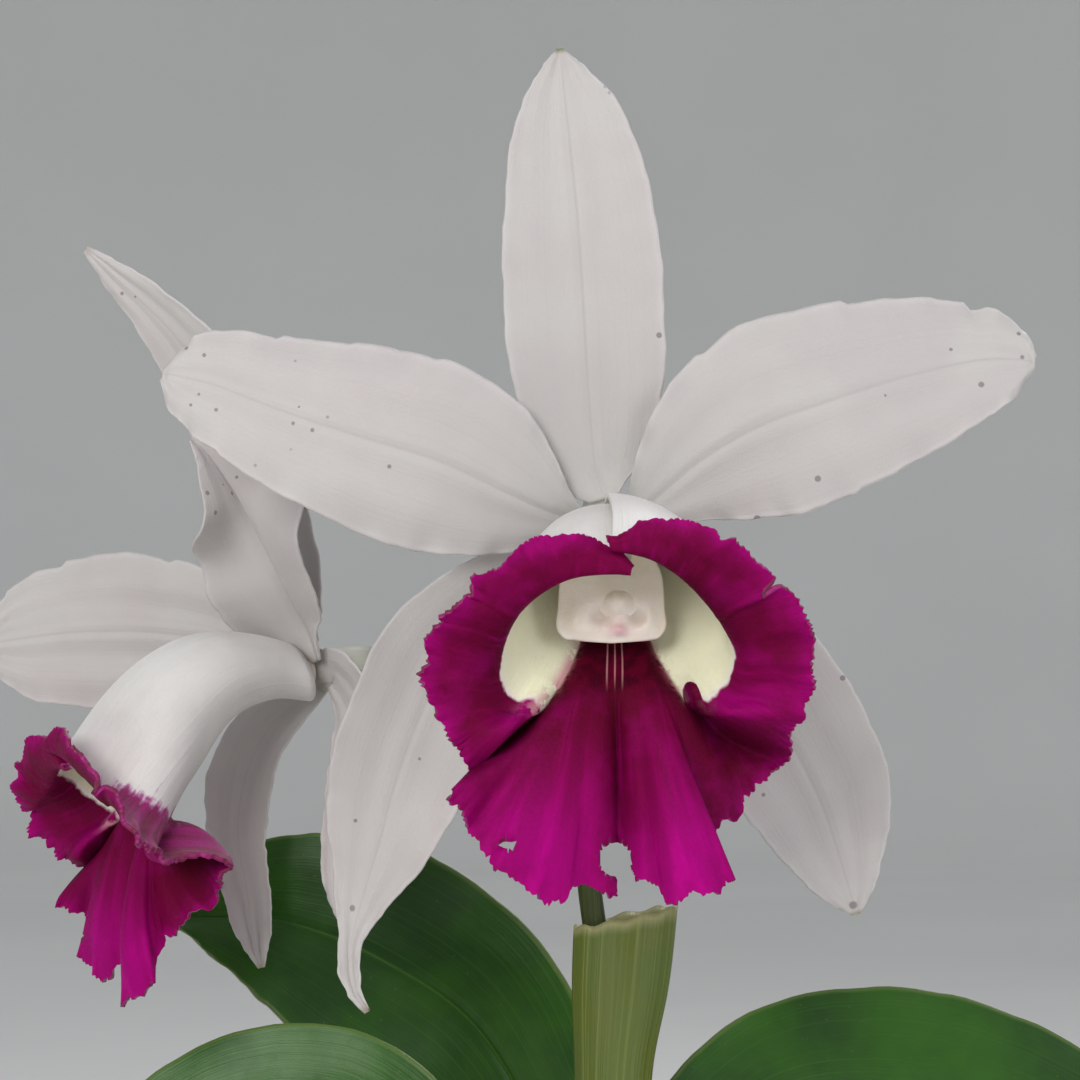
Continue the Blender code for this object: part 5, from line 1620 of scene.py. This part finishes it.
class ORCHID_OT_pot(bpy.types.Operator):
    """Makes the turned clay pot with its rim band and drain holes"""

    bl_idname = "orchid.pot"
    bl_label = "Pot"

    def execute(self, context):
        band = POT_HEIGHT - POT_RIM_HEIGHT
        inner = pot_outer(POT_HEIGHT) - POT_WALL
        floor = pot_outer(POT_FLOOR) - POT_WALL
        profile = [(0.0, 0.0), (12.0, 0.0), (POT_BASE_RADIUS - 3.0, 0.0)]
        profile += corner(POT_BASE_RADIUS - POT_BEVEL, POT_BEVEL, POT_BEVEL, -90.0, 0.0)
        profile += [(pot_outer(share * band), share * band) for share in np.linspace(0.08, 0.97, 14)]
        profile += corner(pot_outer(band) + RIM_HOLLOW, band - RIM_HOLLOW, RIM_HOLLOW, 180.0, 90.0, 4)
        foot = (POT_RIM_RADIUS - 1.0 - RIM_FOOT_BEVEL, band + RIM_FOOT_BEVEL)
        profile += corner(*foot, RIM_FOOT_BEVEL, -90.0, 0.0, 4)
        for share in (0.3, 0.6, 0.9):
            profile.append((POT_RIM_RADIUS - 1.0 + share, band + 1.0 + 16.0 * share))
        top = (POT_RIM_RADIUS - RIM_TOP_BEVEL, POT_HEIGHT - RIM_TOP_BEVEL)
        profile += corner(*top, RIM_TOP_BEVEL, 0.0, 90.0, 6)
        lip_edge = (inner + RIM_INNER_BEVEL, POT_HEIGHT - RIM_INNER_BEVEL)
        profile += corner(*lip_edge, RIM_INNER_BEVEL, 90.0, 180.0)
        for share in (0.1, 0.5):
            depth = (POT_HEIGHT - POT_FLOOR) * share
            profile.append((inner + (floor - inner) * share, POT_HEIGHT - depth))
        profile += [(floor, POT_FLOOR), (0.0, POT_FLOOR)]
        pot = piece(added("fine_pot", spun(profile, POT_STEPS), [clay_finish()]), ["pot"])
        cutters = []
        for number in range(DRAIN_HOLES):
            angle = TURN * (number + 0.5) / DRAIN_HOLES
            bm = bmesh.new()
            radii = {"radius1": DRAIN_RADIUS * MM, "radius2": DRAIN_RADIUS * MM}
            bmesh.ops.create_cone(bm, cap_ends=True, segments=32, depth=3.0 * POT_FLOOR * MM, **radii)
            middle = Vector((math.cos(angle), math.sin(angle), 0.0)) * DRAIN_RING * MM
            bmesh.ops.translate(bm, verts=bm.verts, vec=middle)
            cutters.append(added("drain", bm))
        combine(pot, "DIFFERENCE", cutters)
        pot.data.set_sharp_from_angle(angle=math.radians(40.0))
        return {"FINISHED"}


class ORCHID_OT_bark(bpy.types.Operator):
    """Fills the pot with coarse bark chips over a dark bed"""

    bl_idname = "orchid.bark"
    bl_label = "Bark"

    def bed(self):
        """The bumpy bark under the chips, down to the pot's floor, painted darker as shade."""
        foot_radius = pot_outer(POT_FLOOR) - POT_WALL - 1.5 * SEAM
        top_radius = pot_outer(BARK_TOP) - POT_WALL - 1.5 * SEAM
        draw = np.random.default_rng(BED_SEED)

        def place(u, v):
            angle = TURN * u
            ring = np.round(v * BED_GRID[1])
            top = top_radius * (1.0 - (ring - 2.0) / (BED_GRID[1] - 2.0))
            radius = np.where(ring <= 1, foot_radius * ring, top)
            z = np.where(ring <= 1, POT_FLOOR + SEAM, BARK_TOP - BED_DEPTH)
            bumps = 1.2 * np.sin(radius * 0.9 + 2.0 * angle) * np.sin(9.0 * angle + radius * 0.3)
            bumps = bumps + draw.normal(0.0, 0.5, len(u))
            z = z + np.where((ring > 2) & (radius > 0.5), bumps, 0.0)
            return np.stack([radius * np.cos(angle), radius * np.sin(angle), z], axis=-1), {}

        # Painted shade: the same bark at 0.45 of its colour, darker than the chips above it
        bed = added("bark_bed", skin(*BED_GRID, place), [bark_finish("shaded_bark", 0.45)])
        piece(bed, ["potting_bark"])

    def chip(self, bm, draw, x, y, top, size):
        """Adds one boxy chip, turned at random, whose highest point is at top."""
        made = bmesh.ops.create_icosphere(bm, subdivisions=2, radius=0.5)["verts"]
        sides = (draw.uniform(0.8, 1.35), draw.uniform(0.5, 0.9), draw.uniform(0.3, 0.5))
        for vert in made:
            boxed = vert.co / (2.0 * max(abs(part) for part in vert.co)) ** 0.75
            parts = [part + draw.uniform(-0.07, 0.07) for part in boxed]
            vert.co = [size * side * part for side, part in zip(sides, parts)]
        nod = Matrix.Rotation(draw.uniform(-0.5, 0.5), 4, "X")
        tilt = nod @ Matrix.Rotation(draw.uniform(-0.45, 0.45), 4, "Y")
        turn = Matrix.Rotation(draw.uniform(0.0, TURN), 4, "Z") @ tilt
        bmesh.ops.transform(bm, matrix=turn, verts=made)
        high = max(vert.co.z for vert in made)
        bmesh.ops.translate(bm, verts=made, vec=Vector((x, y, top - high)))

    def execute(self, context):
        self.bed()
        draw = random.Random(CHIP_SEED)
        reach = pot_outer(BARK_TOP) - POT_WALL - 2.0
        bm = bmesh.new()
        placed = 0
        while placed < context.scene.orchid_sizes.bark_chips:
            radius = reach * math.sqrt(draw.random())
            angle = draw.uniform(0.0, TURN)
            x, y = radius * math.cos(angle), radius * math.sin(angle)
            size = draw.uniform(*CHIP_SIZES)
            if radius + 0.6 * size > reach + 1.0:
                size = max(LEAST_CHIP, (reach + 1.0 - radius) / 0.6)
            if radius > reach - 2.5:
                continue
            top = BARK_TOP - draw.uniform(0.0, CHIP_SINK)
            if near_growth(x, y) > size:
                top += draw.uniform(0.0, CHIP_RISE)
            self.chip(bm, draw, x, y, top, size)
            placed += 1
        bmesh.ops.scale(bm, verts=bm.verts, vec=Vector((MM, MM, MM)))
        bmesh.ops.recalc_face_normals(bm, faces=bm.faces)
        chips = piece(added("bark_chips", bm, [bark_finish("coarse_bark", 1.15)]), ())
        chips.data.set_sharp_from_angle(angle=math.radians(32.0))
        return {"FINISHED"}


class ORCHID_OT_pseudobulbs(bpy.types.Operator):
    """Makes the ribbed pseudobulbs, each with its length of creeping stem"""

    bl_idname = "orchid.pseudobulbs"
    bl_label = "Pseudobulbs"

    def execute(self, context):
        bulb = context.scene.orchid_colours.bulb
        green = green_finish("pseudobulb_skin", bulb, BULB_PALE, BULB_DARK, 70.0, 0.4, coat=0.12)
        for number, name in enumerate(GROWTHS):
            rows, upright = growth_rows(name)

            def relief(angle, t, phase=number):
                bulb = plateau(t, 0.3, 0.5, 0.93, 1.0)
                ribs = BULB_RIB_DEPTH * np.cos(BULB_RIBS * angle) * np.sin(math.pi * t)
                ribs += 0.018 * np.cos((2 * BULB_RIBS + 1) * angle + phase + 2.0 * t) * bulb
                ribs += 0.007 * np.cos(41.0 * angle + 5.0 * np.sin(4.0 * t)) * bulb
                rings = sum(hump(t, place, 0.006) for place in (0.08, 0.14, 0.2, 0.27, 0.36))
                return 1.0 + ribs + 0.07 * rings - 0.02 * np.cos(TURN * 9.0 * t) * (1.0 - bulb)

            bm = skin(98, 86, tube_place(84, swept(rows, upright), relief))
            piece(added(f"fine_{name}", bm, [green]), [name])
        return {"FINISHED"}


class ORCHID_OT_husks(bpy.types.Operator):
    """Wraps the foot of each pseudobulb in a dry, torn husk"""

    bl_idname = "orchid.husks"
    bl_label = "Husks"

    def execute(self, context):
        finish = husk_finish()
        for name, (reach, seed) in HUSKS.items():
            rows, upright = growth_rows(name)
            ring = swept(rows, upright)

            def place(u, v, ring=ring, reach=reach, seed=seed):
                angle = TURN * (0.06 + 0.9 * u)
                torn = 0.05 * np.sin(3.0 * angle + seed) + 0.03 * np.sin(11.0 * angle + 2.0 * seed)
                torn += 0.022 * np.sin(27.0 * angle + seed) + 0.012 * np.sin(61.0 * angle)
                cleft = 0.10 * hump(angle, 2.0 + 0.3 * seed % 2.5, 0.16)
                t = HUSK_FOOT_SHARE + (reach - HUSK_FOOT_SHARE + torn - cleft) * v
                stand = 1.055 + 0.05 * v * v + 0.06 * hump(u, 1.0, 0.12)
                stand += 0.012 * np.sin(17.0 * angle + 6.0 * v) + 0.006 * np.sin(43.0 * angle)
                stand += 0.05 * hump(v, 1.0, 0.12) * (0.5 + 0.5 * np.sin(5.0 * angle + seed))
                return ring_points(ring, t, angle, stand), {}

            obj = piece(added(f"husk_{name[-1]}", skin(*HUSK_GRID, place), [finish]))
            thicken(obj, context.scene.orchid_sizes.husk_thickness)
        return {"FINISHED"}


class ORCHID_OT_roots(bpy.types.Operator):
    """Makes the silver roots that creep over the bark"""

    bl_idname = "orchid.roots"
    bl_label = "Roots"

    def execute(self, context):
        finish = root_finish()
        low = BARK_TOP + ROOT_RADIUS + CREEP_LIFT
        for name, path in ROOT_PATHS.items():
            rows = [(*point, low, ROOT_RADIUS) for point in path]

            def relief(angle, t):
                lumps = 0.05 * np.sin(TURN * 6.0 * t + np.sin(angle))
                lumps += 0.03 * np.sin(TURN * 15.0 * t + angle)
                return (1.0 + lumps) * (1.0 - 0.45 * step(t, 0.93, 1.0) ** 2)

            bm = skin(28, 92, tube_place(90, swept(rows, (0.0, 0.0, -1.0)), relief))
            piece(added(f"fine_{name}", bm, [finish]), [name])
        return {"FINISHED"}


class ORCHID_OT_leaves(bpy.types.Operator):
    """Makes the thick, folded, glossy leaves"""

    bl_idname = "orchid.leaves"
    bl_label = "Leaves"

    def execute(self, context):
        finish = leaf_finish()
        for number, (name, rows) in enumerate(LEAF_ROWS.items()):

            def place(u, v, rows=rows, faces=LEAF_FACES[name], seed=number):
                return blade_points(rows, faces, LEAF_FORM, 1.3 + 2.1 * seed, u, v)

            bm = skin(BLADE_ACROSS, BLADE_ALONG, place)
            obj = piece(added(f"fine_{name}", bm, [finish]), [name])
            thicken(obj, context.scene.orchid_sizes.leaf_thickness, 0.4)
        return {"FINISHED"}


class ORCHID_OT_sheath(bpy.types.Operator):
    """Makes the flat green sheath round the foot of the flower stalk"""

    bl_idname = "orchid.sheath"
    bl_label = "Sheath"

    def execute(self, context):
        floor = along(SHEATH_ROWS, np.array([SHEATH_POCKET]))[0, 2] + SEAM

        def place(u, v):
            angle = TURN * u
            outside = v <= SHEATH_OUTSIDE
            inward = np.minimum((v - SHEATH_OUTSIDE) / (1.0 - SHEATH_OUTSIDE - 1.0 / SHEATH_LONG), 1.0)
            level = np.where(outside, v / SHEATH_OUTSIDE, 1.0 - (1.0 - SHEATH_POCKET) * inward)
            x, y, z, wide, deep = along(SHEATH_ROWS, np.clip(level, 0.0, 1.0)).T
            wall = np.where(outside, 0.0, SHEATH_WALL)
            wide = (wide - wall) * (1.0 - at_end(v))
            deep = (deep - wall) * (1.0 - at_end(v))
            z = np.where(outside, z, np.maximum(z, floor))
            keel = 1.0 + 0.05 * np.abs(np.cos(angle)) ** 12 + 0.006 * np.cos(26.0 * angle)
            torn = (SHEATH_CORNER * np.cos(angle) + 0.25 * np.sin(9.0 * angle)) * level**8
            x, y = x + wide * keel * np.cos(angle), y + deep * np.sin(angle)
            return np.stack([x, y, z + torn], axis=-1), {"level": level}

        obj = added("fine_sheath", skin(SHEATH_ROUND, SHEATH_LONG, place), [sheath_finish()])
        piece(obj, ["sheath"])
        return {"FINISHED"}


class ORCHID_OT_stalk(bpy.types.Operator):
    """Makes the flower stalk and its side branch in one piece"""

    bl_idname = "orchid.stalk"
    bl_label = "Flower Stalk"

    def execute(self, context):
        def stem_relief(angle, t):
            joint = hump(t, 0.47, 0.02) + 0.6 * hump(t, 0.09, 0.012)
            return 1.0 + 0.14 * joint + 0.02 * np.cos(7.0 * angle + 3.0 * t)

        def branch_relief(angle, t):
            return 1.0 + 0.22 * hump(t, 0.1, 0.03) + 0.02 * np.cos(6.0 * angle)

        def tube(name, rows, upright, steps, relief):
            place = tube_place(steps, swept(rows, upright), relief)
            return added(name, skin(36, steps + 2, place), [green])

        olive = context.scene.orchid_colours.stalk
        top = (0.66, 0.86, STALK_TOP)
        green = green_finish("stalk_skin", olive, STALK_PALE, STALK_DARK, 26.0, 0.45, top)
        stem = tube("fine_flower_stalk", STALK_ROWS, (0.0, -0.3, -1.0), 150, stem_relief)
        branch = tube("branch", BRANCH_ROWS, (0.0, -1.0, 0.3), 90, branch_relief)
        combine(stem, "UNION", [branch])
        stem.data.shade_smooth()
        piece(stem, ["flower_stalk"])
        return {"FINISHED"}


class ORCHID_OT_tepals(bpy.types.Operator):
    """Makes the three sepals and two petals of each bloom"""

    bl_idname = "orchid.tepals"
    bl_label = "Sepals and Petals"

    def execute(self, context):
        for name, blade in FRONT_TEPALS.items():
            tepal(name, blade, FRONT_BLOOM, 0.0, 1)
        for name, blade in SIDE_TEPALS.items():
            tepal(name, blade, SIDE_BLOOM, SIDE_TURN, 2)
        return {"FINISHED"}


class ORCHID_OT_lips(bpy.types.Operator):
    """Makes the frilled lip of each bloom"""

    bl_idname = "orchid.lips"
    bl_label = "Lips"

    def execute(self, context):
        lip(FRONT_BLOOM, 0.0, 1)
        lip(SIDE_BLOOM, SIDE_TURN, 2)
        return {"FINISHED"}


class ORCHID_OT_columns(bpy.types.Operator):
    """Makes the column and anther cap of each bloom"""

    bl_idname = "orchid.columns"
    bl_label = "Columns and Caps"

    def execute(self, context):
        for bloom, turn, number in ((FRONT_BLOOM, 0.0, 1), (SIDE_BLOOM, SIDE_TURN, 2)):
            column(bloom, turn, number)
            anther_cap(bloom, turn, number)
        return {"FINISHED"}


OPERATORS = (
    ORCHID_OT_stage, ORCHID_OT_pot, ORCHID_OT_bark, ORCHID_OT_pseudobulbs, ORCHID_OT_husks,
    ORCHID_OT_roots, ORCHID_OT_leaves, ORCHID_OT_sheath, ORCHID_OT_stalk, ORCHID_OT_tepals,
    ORCHID_OT_lips, ORCHID_OT_columns,
)


class ORCHID_PT_panel(bpy.types.Panel):
    """Lists the plant's sizes, colours and parts"""

    bl_idname = "ORCHID_PT_panel"
    bl_label = "Cattleya Orchid"
    bl_space_type = "VIEW_3D"
    bl_region_type = "UI"
    bl_category = "Orchid"

    def draw(self, context):
        scene = context.scene
        groups = (scene.orchid_sizes, scene.orchid_colours, scene.orchid_stage)
        for heading, group in zip(("Sizes", "Colours", "Stage"), groups):
            box = self.layout.box()
            box.label(text=heading)
            for name in group.__annotations__:
                box.prop(group, name)
        for operator in OPERATORS:
            self.layout.operator(operator.bl_idname)


CLASSES = (OrchidSizes, OrchidColours, OrchidStage, *OPERATORS, ORCHID_PT_panel)


def register():
    for cls in CLASSES:
        bpy.utils.register_class(cls)
    bpy.types.Scene.orchid_sizes = bpy.props.PointerProperty(type=OrchidSizes)
    bpy.types.Scene.orchid_colours = bpy.props.PointerProperty(type=OrchidColours)
    bpy.types.Scene.orchid_stage = bpy.props.PointerProperty(type=OrchidStage)


def unregister():
    del bpy.types.Scene.orchid_sizes
    del bpy.types.Scene.orchid_colours
    del bpy.types.Scene.orchid_stage
    for cls in reversed(CLASSES):
        bpy.utils.unregister_class(cls)


def main():
    register()
    for operator in OPERATORS:
        group, name = operator.bl_idname.split(".")
        getattr(getattr(bpy.ops, group), name)()


if __name__ == "__main__":
    main()
